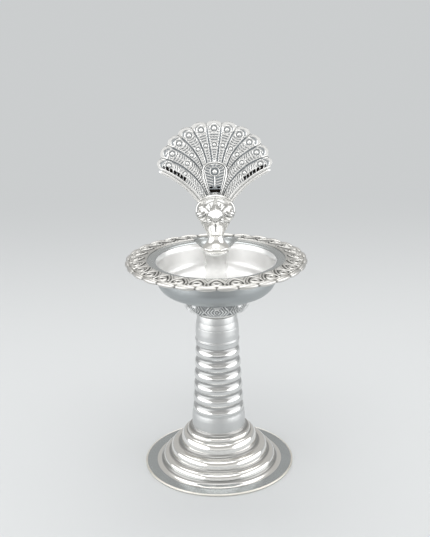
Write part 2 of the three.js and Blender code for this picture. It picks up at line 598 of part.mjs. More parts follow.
// A raised line of the fan, from its root out to the dip between two feathers; k is its place in feathers.
function featherRib(k) {
  const { root, bow } = FAN_RIBS[Math.abs(k) - 0.5];
  const dip = ellipsePoint(shareOfFan(VALLEY_SHARE * RIB_END_SHARE), k * FEATHER_STEP);
  const path = new THREE.QuadraticBezierCurve3(new THREE.Vector3(Math.sign(k) * root[0], 0, root[1]),
    new THREE.Vector3(Math.sign(k) * bow[0], 0, bow[1]), new THREE.Vector3(dip.x, 0, dip.y));
  const half = RIB_WIDTH / 2;
  const section = new THREE.Shape([point(-half, -half), point(half, -half), point(half, half),
    point(-half, half)]);
  return new THREE.ExtrudeGeometry(section, { steps: 5, extrudePath: path })
    .translate(0, FAN_FRONT - RIB_HEIGHT + RIB_WIDTH / 2, 0);
}

const eyeBead = (radius, x, s, y = FAN_FRONT) =>
  ellipsoid({ x: radius, y: radius * 0.9, z: radius }, { x, y, z: s }, 6, 4);

function tailFan() {
  const solids = [plate(fanOutline(), FAN_THICK, FAN_THICK / 2, 4)];
  for (let k = -FEATHERS_PER_SIDE; k <= FEATHERS_PER_SIDE; k += 1) {
    const angle = k * FEATHER_STEP;
    const eye = ellipsePoint(EYE_ROW, angle);
    const small = ellipsePoint(SMALL_EYE_ROW, angle);
    const drop = SMALL_EYE_ROW.drop * Math.abs(k) ** 3;
    solids.push(eyeBead(EYE_R, eye.x, eye.y), eyeBead(SMALL_EYE_R, small.x, small.y - drop));
    if (k < FEATHERS_PER_SIDE) solids.push(featherRib(k + 0.5));
  }
  return cutBy(joined(...solids), fromTail(birdBody(SOLDER_GAP)));
}

// The rolled wire under the fan's lower edge runs beside that edge at its own radius and the solder gap.
function edgeTube(side) {
  const edge = new THREE.QuadraticBezierCurve(point(FAN_ROOT.x, FAN_ROOT.s),
    point(FAN_EDGE_BOW.x, FAN_EDGE_BOW.s), point(FAN_TIP.x, FAN_TIP.s));
  const out = EDGE_TUBE_R + SOLDER_GAP;
  const steps = 8;
  const path = new THREE.CatmullRomCurve3(Array.from({ length: steps + 1 }, (_, i) => {
    const at = edge.getPoint(i / steps);
    const along = edge.getTangent(i / steps);
    return new THREE.Vector3(side * (at.x + out * along.y), 0, at.y - out * along.x);
  }));
  const section = new THREE.Shape(Array.from({ length: 8 }, (_, i) =>
    point(EDGE_TUBE_R * Math.cos((i * Math.PI) / 4), EDGE_TUBE_R * Math.sin((i * Math.PI) / 4))));
  const wire = new THREE.ExtrudeGeometry(section, { steps, extrudePath: path });
  return cutBy(wire, fromTail(birdBody(SOLDER_GAP)));
}

function dropShape(inset) {
  const { top, foot, wideAt, half, footHalf } = CENTRE_FEATHER;
  const shape = new THREE.Shape();
  const wide = half - inset;
  const low = footHalf - inset * 0.6;
  shape.moveTo(low, foot + inset);
  shape.quadraticCurveTo(wide * 1.02, wideAt - 3.5, wide, wideAt);
  shape.quadraticCurveTo(wide, top - inset, 0, top - inset);
  shape.quadraticCurveTo(-wide, top - inset, -wide, wideAt);
  shape.quadraticCurveTo(-wide * 1.02, wideAt - 3.5, -low, foot + inset);
  return shape;
}

function centreFeather() {
  const back = FAN_FRONT - SOLDER_GAP;
  const { thick, foot } = CENTRE_FEATHER;
  const field = plate(dropShape(0), thick, back, 6);
  const rimShape = dropShape(0);
  rimShape.holes.push(dropShape(CENTRE_RIM.width));
  const rim = plate(rimShape, thick + CENTRE_RIM.rise, back, 6);
  const [stemFront, stemBack] = [back - thick - 0.4, back - 0.1];
  const stem = box(-STEM_WIDTH / 2, STEM_WIDTH / 2, stemFront, stemBack, STEM_FOOT_S, CENTRE_EYE_S);
  const [windowFoot, windowTop] = [foot + 1.1, STEM_FOOT_S - 0.8];
  const window = new THREE.Shape([point(-1.1, windowFoot), point(1.1, windowFoot), point(1.8, windowTop),
    point(-1.8, windowTop)]);
  const behind = box(-BEYOND, BEYOND, back, BEYOND, -BEYOND, BEYOND);
  const piece = joined(field, rim, stem, eyeBead(CENTRE_EYE_R, 0, CENTRE_EYE_S, back - thick));
  return cutBy(piece, plate(window, 4, 1, 1), behind, fromTail(birdBody(SOLDER_GAP)));
}

// The tail's group leans back about the fan's root.
const tail = new THREE.Group();
tail.position.set(0, TAIL_Y, WAIST_Z + TAIL_ROOT_UP);
tail.rotation.x = -TAIL_LEAN;
tail.updateMatrix();

// Brings a body that stands in the lamp's frame into the tail's leaning frame.
function fromTail(geometry) {
  return geometry.clone().applyMatrix4(tail.matrix.clone().invert());
}

addPiece('base_shell', baseShell(), polishedSilver);
addPiece('base_edge_wire', edgeWire(), polishedSilver);
addPiece('base_washer', ring(ROD_HOLE_R, WASHER_R, NUT_TOP_Z, NUT_TOP_Z + WASHER_THICK, 16), plainSteel);
addPiece('base_nut', hexNut(), plainSteel);
addPiece('tie_rod', cylinder(ROD_R, NUT_TOP_Z - NUT_HEIGHT - ROD_BELOW_NUT,
  POST_BOTTOM_Z + POST_THREAD_DEPTH - 0.3, 16), plainSteel);
addPiece('pillar_foot_disc', centringDisc(BASE_TOP_Z, BASE_TOP_Z + DISC_THICK), plainSteel);
addPiece('pillar_tube', pillarTube(), polishedSilver);
addPiece('pillar_top_disc', centringDisc(PILLAR_TOP_Z - DISC_THICK, PILLAR_TOP_Z), plainSteel);
addPiece('pillar_top_ring', pillarTopRing(), polishedSilver);
addPiece('lotus_calyx', lotusCalyx(), castSilver);
addPiece('bowl_shell', bowlShell(), satinSilver);
addPiece('rim_ornament', rimOrnament(), castSilver);
addPiece('rim_beaded_wire', beadedWire(), polishedSilver);
addPiece('sealing_washer', ring(ROD_HOLE_R, SEAL_R, BOWL_FLOOR_Z, POST_BOTTOM_Z, 16), fibre);
addPiece('socket_post', socketPost(), polishedSilver);
addPiece('finial_pin', finialPin(), plainSteel);
addPiece('bird_foot', birdFoot(), polishedSilver);
addPiece('bird_half_left', birdHalf(-1), polishedSilver);
addPiece('bird_half_right', birdHalf(1), polishedSilver);
addPiece('bird_neck', neckAndHead(), polishedSilver);
addPiece('wing_left', wing(-1), polishedSilver);
addPiece('wing_right', wing(1), polishedSilver);
addPiece('tail_fan', tailFan(), castSilver, tail);
addPiece('tail_edge_left', edgeTube(-1), polishedSilver, tail);
addPiece('tail_edge_right', edgeTube(1), polishedSilver, tail);
addPiece('tail_centre_feather', centreFeather(), castSilver, tail);
model.add(tail);

export default model;
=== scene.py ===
"""Standing oil lamp in polished silver plate: the visible pieces, their finishes, the studio and the camera.

Every shape is worked out in millimetres in the lamp's own frame (+Z up its axis, -Y towards the front, z = 0
on the table) and is written into its mesh in metres.
"""

from __future__ import annotations

import logging
import math
from dataclasses import dataclass, field
from enum import Enum

import bpy
import numpy as np
from mathutils import Matrix, Vector

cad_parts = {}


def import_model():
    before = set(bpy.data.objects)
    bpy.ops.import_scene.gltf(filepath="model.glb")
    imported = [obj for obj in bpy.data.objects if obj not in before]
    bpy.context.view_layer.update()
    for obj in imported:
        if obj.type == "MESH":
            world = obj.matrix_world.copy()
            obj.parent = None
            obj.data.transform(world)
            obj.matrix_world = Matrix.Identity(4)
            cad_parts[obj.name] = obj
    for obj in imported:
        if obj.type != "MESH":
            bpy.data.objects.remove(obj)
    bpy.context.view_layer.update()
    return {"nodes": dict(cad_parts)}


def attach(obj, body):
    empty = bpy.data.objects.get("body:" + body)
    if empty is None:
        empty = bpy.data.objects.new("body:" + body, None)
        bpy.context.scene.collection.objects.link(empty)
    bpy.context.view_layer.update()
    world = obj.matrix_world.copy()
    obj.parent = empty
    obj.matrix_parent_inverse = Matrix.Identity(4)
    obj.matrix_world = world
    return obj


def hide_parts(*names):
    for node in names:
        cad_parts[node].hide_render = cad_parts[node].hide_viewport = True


MM = 0.001
MICROMETRE = 1e-6
TAU = 2 * math.pi
SHARP_EDGE = math.radians(38)

log = logging.getLogger("oil_lamp")


class Rides(Enum):
    """The bodies of the lamp that pieces move with."""

    STAND = "stand"
    PIN = "pin"
    FINIAL = "finial"


class Slot(Enum):
    """The finishes' slot names."""

    POLISHED = "polished_silver"
    SATIN = "satin_silver"
    CAST = "cast_silver"
    STEEL = "plain_steel"
    FIBRE = "fibre"


class Marks(Enum):
    """Which way the fine marks of polishing run."""

    ROUND_THE_AXIS = "round"
    ALL_WAYS = "all"


# Surfaces


@dataclass
class Surface:
    """A closed skin as arrays.

    Attributes:
        points: Corners in millimetres, one row each.
        faces: Arrays of corner numbers, four or three to a row.
        recess: How deep each corner lies in the relief: 0 on top, 1 in a groove, 2 in a pit, where near-black
            painted shade is laid.
    """

    points: np.ndarray
    faces: list[np.ndarray]
    recess: np.ndarray

    def volume(self) -> float:
        """Signed volume by the sum of the tetrahedra from the origin to each triangle.

        Returns:
            The volume in cubic millimetres, below 0 where the faces point inwards.
        """
        total = 0.0
        for rows in self.faces:
            corners = self.points[rows]
            for k in range(1, rows.shape[1] - 1):
                total += np.einsum("ij,ij->", corners[:, 0], np.cross(corners[:, k], corners[:, k + 1])) / 6
        return total

    def outward(self) -> Surface:
        """Turns every face round if the skin is inside out.

        Returns:
            The same surface.
        """
        if self.volume() < 0:
            self.faces = [rows[:, ::-1] for rows in self.faces]
        return self


def gathered(parts: list[Surface]) -> Surface:
    """Puts several closed skins into one mesh.

    Args:
        parts: The skins, each already facing outwards.

    Returns:
        One surface with all their corners and faces.
    """
    starts = np.cumsum([0] + [len(part.points) for part in parts[:-1]])
    faces = [rows + start for part, start in zip(parts, starts) for rows in part.faces]
    points = np.concatenate([part.points for part in parts])
    recess = np.concatenate([part.recess for part in parts])
    return Surface(points, faces, recess)


def woven(rows: int, columns: int, wrap_rows: bool, wrap_columns: bool) -> np.ndarray:
    """Four-sided faces between the neighbours of a grid of corners.

    Args:
        rows: Number of grid rows.
        columns: Number of grid columns.
        wrap_rows: Whether the last row joins the first.
        wrap_columns: Whether the last column joins the first.

    Returns:
        An array of four corner numbers per face.
    """
    tops = np.arange(rows if wrap_rows else rows - 1)
    lefts = np.arange(columns if wrap_columns else columns - 1)
    i, j = np.meshgrid(tops, lefts, indexing="ij")
    below, right = (i + 1) % rows, (j + 1) % columns
    return np.stack(
        [i * columns + j, below * columns + j, below * columns + right, i * columns + right], -1
    ).reshape(-1, 4)


def hooped(grid: np.ndarray, recess: np.ndarray | None = None, closed: bool = False) -> Surface:
    """A skin of hoops: each grid row is a ring, and a corner in the middle of the end rings closes each end.

    Args:
        grid: Corners as rows by columns by three, where each row runs once round.
        recess: Depth of each corner, or nothing for a plain piece.
        closed: Whether the last hoop joins the first, so that the skin has no ends.

    Returns:
        The closed surface, facing outwards.
    """
    rows, columns = grid.shape[:2]
    depth = np.zeros((rows, columns)) if recess is None else recess
    points, faces, deep = grid.reshape(-1, 3), [woven(rows, columns, closed, True)], depth.reshape(-1)
    if not closed:
        ring = np.arange(columns)
        after = (ring + 1) % columns
        last = (rows - 1) * columns
        ends = np.stack([grid[0].mean(0), grid[-1].mean(0)])
        first_pole, last_pole = rows * columns, rows * columns + 1
        faces.append(np.stack([np.full(columns, first_pole), ring, after], -1))
        faces.append(np.stack([np.full(columns, last_pole), last + after, last + ring], -1))
        points = np.concatenate([points, ends])
        deep = np.concatenate([deep, [depth[0].mean(), depth[-1].mean()]])
    return Surface(points, faces, deep).outward()


def plated(front: np.ndarray, back: np.ndarray, recess: np.ndarray) -> Surface:
    """A plate between two grids of the same size, closed along its four edges.

    The two grids are laid side by side in one hoop per row, and the end rows are filled between front and
    back.

    Args:
        front: Corners of the worked face, rows by columns by three.
        back: Corners of the other face.
        recess: Depth of each front corner.

    Returns:
        The closed surface, facing outwards.
    """
    rows, columns = front.shape[:2]
    hoop = np.concatenate([front, back[:, ::-1]], axis=1)
    deep = np.concatenate([recess, np.zeros_like(recess)], axis=1)
    j = np.arange(columns - 1)
    cap = np.stack([j, j + 1, 2 * columns - 2 - j, 2 * columns - 1 - j], -1)
    faces = [woven(rows, 2 * columns, False, True), cap, cap[:, ::-1] + (rows - 1) * 2 * columns]
    return Surface(hoop.reshape(-1, 3), faces, deep.reshape(-1)).outward()


def bowed(t: np.ndarray, start: np.ndarray, bend: np.ndarray, stop: np.ndarray) -> np.ndarray:
    """A bow from start to stop that heads for the bend: (1-t)^2 start + 2t(1-t) bend + t^2 stop."""
    return (1 - t) ** 2 * start + 2 * t * (1 - t) * bend + t**2 * stop


def about_axis(radius: np.ndarray, angle: np.ndarray, height: np.ndarray) -> np.ndarray:
    """Points about the lamp's axis: x = r sin a and y = -r cos a, so that an angle of 0 faces the front."""
    return np.stack(np.broadcast_arrays(radius * np.sin(angle), -radius * np.cos(angle), height), -1)


def rounded(corners: np.ndarray, reach: float, steps: int = 5, closed: bool = False) -> np.ndarray:
    """Rounds the corners of a line.

    Each corner P gives way to the curve (1-t)^2 A + 2t(1-t) P + t^2 B, where A and B lie on the sides before
    and after it, at most `reach` away and never past the middle of a side.

    Args:
        corners: The line's points, two or three numbers a row.
        reach: How far from a corner the curve starts, in millimetres.
        steps: Pieces that each curve is made of.
        closed: Whether the line comes back to its start.

    Returns:
        The points of the rounded line.
    """
    before, after = np.roll(corners, 1, 0) - corners, np.roll(corners, -1, 0) - corners
    size_before = np.linalg.norm(before, axis=1, keepdims=True)
    size_after = np.linalg.norm(after, axis=1, keepdims=True)
    most = 0.48
    start = corners + before / size_before * np.minimum(reach, size_before * most)
    stop = corners + after / size_after * np.minimum(reach, size_after * most)
    t = np.linspace(0, 1, steps + 1)[None, :, None]
    curves = bowed(t, start[:, None], corners[:, None], stop[:, None])
    if closed:
        return curves.reshape(-1, corners.shape[1])
    return np.concatenate([corners[:1], curves[1:-1].reshape(-1, corners.shape[1]), corners[-1:]])


def arc(
    centre_r: float, centre_z: float, half_r: float, half_z: float, start: float, stop: float, steps: int
) -> np.ndarray:
    """Points of an elliptical arc in (radius, height), from angle start to stop in degrees.

    Args:
        centre_r: Radius of the arc's centre.
        centre_z: Height of the arc's centre.
        half_r: Half size across.
        half_z: Half size upwards.
        start: First angle.
        stop: Last angle.
        steps: Pieces of the arc.

    Returns:
        An array of (radius, height) rows.
    """
    a = np.radians(np.linspace(start, stop, steps + 1))
    return np.stack([centre_r + half_r * np.cos(a), centre_z + half_z * np.sin(a)], -1)


def turned(profile: np.ndarray, segments: int, relief: np.ndarray | None = None) -> Surface:
    """Turns a profile about the lamp's axis, with column 0 at the front.

    Args:
        profile: (radius, height) rows. If the first and last radius are 0 the skin ends in poles, otherwise
            the profile is taken as a closed line and the skin is a ring.
        segments: Columns round the axis.
        relief: Depth of each corner, rows of the profile by segments, or nothing.

    Returns:
        The closed surface.
    """
    poles = profile[0, 0] < 1e-6 and profile[-1, 0] < 1e-6
    body = profile[1:-1] if poles else profile
    a = np.linspace(0, TAU, segments, endpoint=False)
    radius, height = body[:, :1], body[:, 1:]
    return hooped(about_axis(radius, a, height), relief, closed=not poles)


def piped(
    path: np.ndarray, radius: np.ndarray, sides: int, up: tuple[float, float, float], closed: bool = False
) -> Surface:
    """Carries a ring along a path: path point + radius (cos a side + sin a lift), square to the path.

    Args:
        path: Points of the middle line, three numbers a row.
        radius: Radius at each point.
        sides: Corners of the ring.
        up: The direction that `lift` leans to.
        closed: Whether the path comes back to its start.

    Returns:
        The closed surface.
    """
    if closed:
        tangent = np.roll(path, -1, 0) - np.roll(path, 1, 0)
    else:
        tangent = np.gradient(path, axis=0)
    tangent /= np.linalg.norm(tangent, axis=1, keepdims=True)
    side = np.cross(tangent, np.array(up))
    side /= np.linalg.norm(side, axis=1, keepdims=True)
    lift = np.cross(side, tangent)
    a = np.linspace(0, TAU, sides, endpoint=False)[None, :, None]
    grid = path[:, None] + radius[:, None, None] * (np.cos(a) * side[:, None] + np.sin(a) * lift[:, None])
    return hooped(grid, closed=closed)


def ridge(distance: np.ndarray, half_width: float) -> np.ndarray:
    """A raised line's height share: the square root of 1 - (distance / half width)^2, and 0 outside."""
    return np.sqrt(np.clip(1 - (distance / half_width) ** 2, 0, 1))


def eased(value: np.ndarray, low: float, high: float) -> np.ndarray:
    """A smooth step from 0 at low to 1 at high: 3t^2 - 2t^3."""
    t = np.clip((value - low) / (high - low), 0, 1)
    return t * t * (3 - 2 * t)


def thin(distance: np.ndarray, low: float, high: float) -> np.ndarray:
    """A soft line: 1 up to the distance `low` from its middle, falling to 0 at `high`."""
    return 1 - eased(np.abs(distance), low, high)


# Finishes


OXIDE = (0.27, 0.275, 0.275)
# Near black, painted into pits and slots as shade.
PAINTED_PIT_SHADE = (0.035, 0.028, 0.024)
Socket = bpy.types.NodeSocket
Fed = Socket | float | tuple[float, ...]


@dataclass
class Wiring:
    """The nodes of one material or room, and how they are joined.

    Attributes:
        nodes: The nodes.
        links: The links between them.
    """

    nodes: bpy.types.Nodes
    links: bpy.types.NodeLinks

    @classmethod
    def of(cls, owner: bpy.types.Material | bpy.types.World) -> Wiring:
        """The wiring of a material or a world, which uses its nodes from now on."""
        owner.use_nodes = True
        return cls(owner.node_tree.nodes, owner.node_tree.links)

    def feed(self, socket: Socket, value: Fed) -> None:
        """Joins a socket to another one, or sets its number or colour.

        Args:
            socket: The socket that takes the value.
            value: Another node's socket, a number or a tuple of numbers.
        """
        if isinstance(value, Socket):
            self.links.new(value, socket)
        else:
            socket.default_value = value

    def place(self) -> Socket:
        """The object's own coordinates."""
        return self.nodes.new("ShaderNodeTexCoord").outputs["Object"]

    def split(self, vector: Socket) -> bpy.types.NodeOutputs:
        """The parts of a vector.

        Args:
            vector: The vector's socket.

        Returns:
            Sockets that are found as X, Y and Z.
        """
        node = self.nodes.new("ShaderNodeSeparateXYZ")
        self.links.new(vector, node.inputs["Vector"])
        return node.outputs

    def sum(self, operation: str, *values: Fed, clamp: bool = False) -> Socket:
        """A sum on numbers.

        Args:
            operation: The kind of sum, as the Math node names it.
            *values: What it is worked out from, in the node's order.
            clamp: Whether the answer is kept between 0 and 1.

        Returns:
            The answer's socket.
        """
        node = self.nodes.new("ShaderNodeMath")
        node.operation = operation
        node.use_clamp = clamp
        for socket, value in zip(node.inputs, values):
            self.feed(socket, value)
        return node.outputs["Value"]

    def noise(self, place: Socket, scale: float, detail: float) -> Socket:
        """Cloudy noise.

        Args:
            place: Where it is read.
            scale: Clouds to a metre.
            detail: How many finer layers it has.

        Returns:
            The socket of a number between 0 and 1.
        """
        node = self.nodes.new("ShaderNodeTexNoise")
        node.inputs["Scale"].default_value = scale
        node.inputs["Detail"].default_value = detail
        self.links.new(place, node.inputs["Vector"])
        return node.outputs["Fac"]

    def spread(
        self, value: Socket, read: tuple[float, float], given: tuple[float, float] = (0, 1),
        smooth: bool = False,
    ) -> Socket:
        """Carries a number from one range to another.

        Args:
            value: The number's socket.
            read: The range that is read.
            given: The range that it becomes.
            smooth: Whether it eases in and out as 3t^2 - 2t^3.

        Returns:
            The new number's socket.
        """
        node = self.nodes.new("ShaderNodeMapRange")
        if smooth:
            node.interpolation_type = "SMOOTHSTEP"
        for name, number in zip(("From Min", "From Max", "To Min", "To Max"), (*read, *given)):
            node.inputs[name].default_value = number
        self.links.new(value, node.inputs["Value"])
        return node.outputs["Result"]

    def blend(self, share: Socket, first: Fed, second: Fed) -> Socket:
        """A colour between two.

        Args:
            share: How much of the second colour counts.
            first: The first colour.
            second: The second colour.

        Returns:
            The colour's socket.
        """
        node = self.nodes.new("ShaderNodeMix")
        node.data_type = "RGBA"
        for name, value in (("Factor", share), ("A", first), ("B", second)):
            self.feed(node.inputs[name], value)
        return node.outputs["Result"]

    def bump(self, height: Socket, depth: float) -> Socket:
        """A surface's tilt from a height.

        Args:
            height: The height's socket, from 0 to 1.
            depth: What a height of 1 stands for, in metres.

        Returns:
            The tilt's socket.
        """
        node = self.nodes.new("ShaderNodeBump")
        node.inputs["Distance"].default_value = depth
        self.links.new(height, node.inputs["Height"])
        return node.outputs["Normal"]

    def looked_at(self) -> Socket:
        """Whether a ray comes from the camera, a mirror or a clear body: 1 for such rays, 0 for others."""
        rays = self.nodes.new("ShaderNodeLightPath").outputs
        most = self.sum("MAXIMUM", rays["Is Camera Ray"], rays["Is Glossy Ray"])
        return self.sum("MAXIMUM", most, rays["Is Transmission Ray"])

    def show(self, share: Socket, first: Socket, second: Socket, output: str) -> None:
        """Mixes two shaders into the output.

        Args:
            share: How much of the second shader counts.
            first: The first shader.
            second: The second shader.
            output: The output node's name.
        """
        mix = self.nodes.new("ShaderNodeMixShader")
        for number, value in enumerate((share, first, second)):
            self.links.new(value, mix.inputs[number])
        self.links.new(mix.outputs["Shader"], self.nodes[output].inputs["Surface"])


@dataclass(frozen=True)
class MetalFinish:
    """A metal with fine polishing marks, a wandering gloss, oxide in its grooves, which some pieces also use
    as painted shade, and near-black painted shade in its pits.

    Attributes:
        name: The material's name.
        colour: Colour of the clean metal.
        roughness: Middle of the gloss.
        oxide: Colour of the metal in the grooves.
        wander: How far the gloss wanders from place to place.
        mark_mm: Width of the polishing marks.
        mark_depth: Depth of the marks in micrometres.
        marks: Which way the marks run.
        oxide_share: How strongly the recesses darken.
        clouds_per_m: Clouds of wandering gloss and faint oxide to a metre.
        cloud_range: The part of the clouds' range that the gloss follows.
        cloud_oxide: How strongly those clouds darken.
        groove_dull: How much rougher a groove is.
        hoop_squeeze: How short the way round the axis counts, so that a mark is a long hoop.
    """

    name: str
    colour: tuple[float, float, float]
    roughness: float
    oxide: tuple[float, float, float] = OXIDE
    wander: float = 0.04
    mark_mm: float = 0.2
    mark_depth: float = 2.0
    marks: Marks = Marks.ROUND_THE_AXIS
    oxide_share: float = 0.6
    clouds_per_m: float = 110
    cloud_range: tuple[float, float] = (0.3, 0.7)
    cloud_oxide: float = 0.1
    groove_dull: float = 0.25
    hoop_squeeze: float = 0.012

    def material(self) -> bpy.types.Material:
        """Builds the node material.

        Returns:
            The new material.
        """
        made = bpy.data.materials.new(self.name)
        wiring = Wiring.of(made)
        shader = wiring.nodes["Principled BSDF"].inputs
        shader["Metallic"].default_value = 1.0
        place = wiring.place()
        clouds = wiring.noise(place, self.clouds_per_m, detail=5)
        depth = wiring.nodes.new("ShaderNodeAttribute")
        depth.attribute_name = "recess"
        recess = depth.outputs["Fac"]
        rough = (self.roughness - self.wander, self.roughness + self.wander)
        gloss = wiring.spread(clouds, self.cloud_range, rough)
        wiring.feed(shader["Roughness"], wiring.sum("MULTIPLY_ADD", recess, self.groove_dull, gloss))
        wiring.feed(shader["Base Color"], self._tone(wiring, clouds, recess))
        marks = wiring.noise(self._run_of_marks(wiring, place), 1 / (self.mark_mm * MM), detail=3)
        wiring.feed(shader["Normal"], wiring.bump(marks, self.mark_depth * MICROMETRE))
        return made

    def _tone(self, wiring: Wiring, clouds: Socket, recess: Socket) -> Socket:
        """The metal's colour.

        Args:
            wiring: The material's nodes.
            clouds: The cloudy noise.
            recess: How deep the surface lies in the relief.

        Returns:
            The clean metal's colour on top, the oxide's in a groove and near-black painted shade in a pit.
        """
        in_grooves = wiring.sum("MULTIPLY", recess, self.oxide_share)
        in_clouds = wiring.sum("MULTIPLY", clouds, self.cloud_oxide)
        amount = wiring.sum("ADD", in_grooves, in_clouds, clamp=True)
        tone = wiring.blend(amount, (*self.colour, 1), (*self.oxide, 1))
        # Past a recess of 1 the colour turns to near-black painted shade.
        pit_shade_share = wiring.sum("SUBTRACT", recess, 1.0, clamp=True)
        return wiring.blend(pit_shade_share, tone, (*PAINTED_PIT_SHADE, 1))

    def _run_of_marks(self, wiring: Wiring, place: Socket) -> Socket:
        """The place that the marks are drawn at.

        Args:
            wiring: The material's nodes.
            place: Socket with the object's own coordinates.

        Returns:
            For marks round the axis, (radius, height) with a little of the place across, so that a mark is a
            long hoop; otherwise the plain place.
        """
        if self.marks is Marks.ALL_WAYS:
            return place
        flat = wiring.nodes.new("ShaderNodeVectorMath")
        flat.operation = "MULTIPLY"
        flat.inputs[1].default_value = (1, 1, 0)
        wiring.feed(flat.inputs[0], place)
        radius = wiring.nodes.new("ShaderNodeVectorMath")
        radius.operation = "LENGTH"
        wiring.feed(radius.inputs[0], flat.outputs["Vector"])
        parts = wiring.split(place)
        joined = wiring.nodes.new("ShaderNodeCombineXYZ")
        wiring.feed(joined.inputs["X"], radius.outputs["Value"])
        wiring.feed(joined.inputs["Y"], wiring.sum("MULTIPLY", parts["X"], self.hoop_squeeze))
        wiring.feed(joined.inputs["Z"], parts["Z"])
        return joined.outputs["Vector"]


POLISHED_TURNED = MetalFinish(
    "polished silver, turned", (0.9, 0.89, 0.865), roughness=0.1, oxide=(0.2, 0.2, 0.195), wander=0.03,
    mark_mm=0.16, mark_depth=1.2, oxide_share=0.8,
)
# The satin is real; the darker blue-grey colour, beside brighter turned silver on the same dome, is painted
# shade and a painted reflection of a blue-grey surround.
SATIN_FLANGE_SHADED = MetalFinish(
    "satin silver of the foot's flange", (0.5, 0.53, 0.54), roughness=0.24, mark_depth=4.0,
)
SOFT_WIRE = MetalFinish("drawn silver wire", (0.88, 0.85, 0.79), roughness=0.34, wander=0.05)
# The satin is real; the colour, darker than the ribbed silver beside it, is painted shade that tones down its
# highlights.
SATIN_BAND_SHADED = MetalFinish(
    "satin silver of the plain bands", (0.65, 0.66, 0.66), roughness=0.4, mark_mm=0.16, mark_depth=3.0,
    oxide_share=0.7,
)
SATIN_POST = MetalFinish("satin silver of the post", (0.86, 0.86, 0.85), roughness=0.27)
BRUSHED_PILLAR = MetalFinish(
    "softly brushed silver", (0.78, 0.785, 0.78), roughness=0.14, mark_mm=0.14, mark_depth=3.0,
    oxide_share=0.8,
)
POLISHED_BOWL = MetalFinish(
    "polished silver inside the bowl", (0.96, 0.96, 0.955), roughness=0.34, wander=0.05,
)
# The satin is real; the blue-grey colour, darker than the silver inside the bowl, is painted shade and a
# painted reflection of a blue-grey surround.
SATIN_RIM_SHADED = MetalFinish(
    "satin silver of the bowl's flange", (0.56, 0.585, 0.59), roughness=0.24, wander=0.05, mark_depth=3.0,
)
# The satin is real; the dark blue-grey colour, far darker than the silver inside, is painted shade and a
# painted reflection of a dark blue-grey surround.
SATIN_BOWL_SHADED = MetalFinish(
    "satin silver outside the bowl", (0.44, 0.465, 0.475), roughness=0.38, wander=0.05, mark_depth=5.0,
)
BRIGHT_WIRE = MetalFinish(
    "bright rolled silver wire", (0.97, 0.965, 0.95), roughness=0.3, marks=Marks.ALL_WAYS,
    oxide_share=0.5,
)
POLISHED_FORMED = MetalFinish(
    "polished silver, formed", (0.84, 0.835, 0.815), roughness=0.13, oxide=(0.12, 0.125, 0.125),
    wander=0.03, mark_mm=0.3, mark_depth=1.5, marks=Marks.ALL_WAYS, oxide_share=0.85,
)
CAST_RELIEF = MetalFinish(
    "cast silver with darker grooves", (0.93, 0.925, 0.91), roughness=0.3, oxide=(0.33, 0.36, 0.385),
    mark_mm=0.35, mark_depth=3.0, marks=Marks.ALL_WAYS, oxide_share=0.9,
)
CAST_BORDER = MetalFinish(
    "cast silver of the border", (0.72, 0.71, 0.685), roughness=0.33, oxide=(0.12, 0.12, 0.115),
    wander=0.05, mark_mm=0.35, mark_depth=3.0, marks=Marks.ALL_WAYS, oxide_share=0.95,
)
CAST_CALYX = MetalFinish(
    "cast silver of the calyx", (0.72, 0.73, 0.73), roughness=0.48, oxide=(0.31, 0.325, 0.33),
    wander=0.05, mark_mm=0.35, mark_depth=4.0, marks=Marks.ALL_WAYS, oxide_share=0.85,
)
TURNED_STEEL = MetalFinish(
    "turned steel", (0.56, 0.57, 0.58), roughness=0.34, oxide=(0.1, 0.09, 0.08), wander=0.06,
    mark_depth=6.0, oxide_share=0.8,
)


@dataclass(frozen=True)
class FibreFinish:
    """Pressed sealing fibre with short light hairs.

    Attributes:
        name: The material's name.
        colour: Colour of the fibre.
        hair: Colour of the hairs.
        hairs_per_m: Hairs to a metre.
        hair_depth: Height of the hairs in micrometres.
        roughness: The gloss.
    """

    name: str = "sealing fibre"
    colour: tuple[float, float, float] = (0.26, 0.13, 0.08)
    hair: tuple[float, float, float] = (0.42, 0.26, 0.17)
    hairs_per_m: float = 1800
    hair_depth: float = 30
    roughness: float = 0.75

    def material(self) -> bpy.types.Material:
        """Builds the node material.

        Returns:
            The new material.
        """
        made = bpy.data.materials.new(self.name)
        wiring = Wiring.of(made)
        shader = wiring.nodes["Principled BSDF"].inputs
        shader["Roughness"].default_value = self.roughness
        hairs = wiring.noise(wiring.place(), self.hairs_per_m, detail=4)
        wiring.feed(shader["Base Color"], wiring.blend(hairs, (*self.colour, 1), (*self.hair, 1)))
        wiring.feed(shader["Normal"], wiring.bump(hairs, self.hair_depth * MICROMETRE))
        return made


SEALING_FIBRE = FibreFinish()


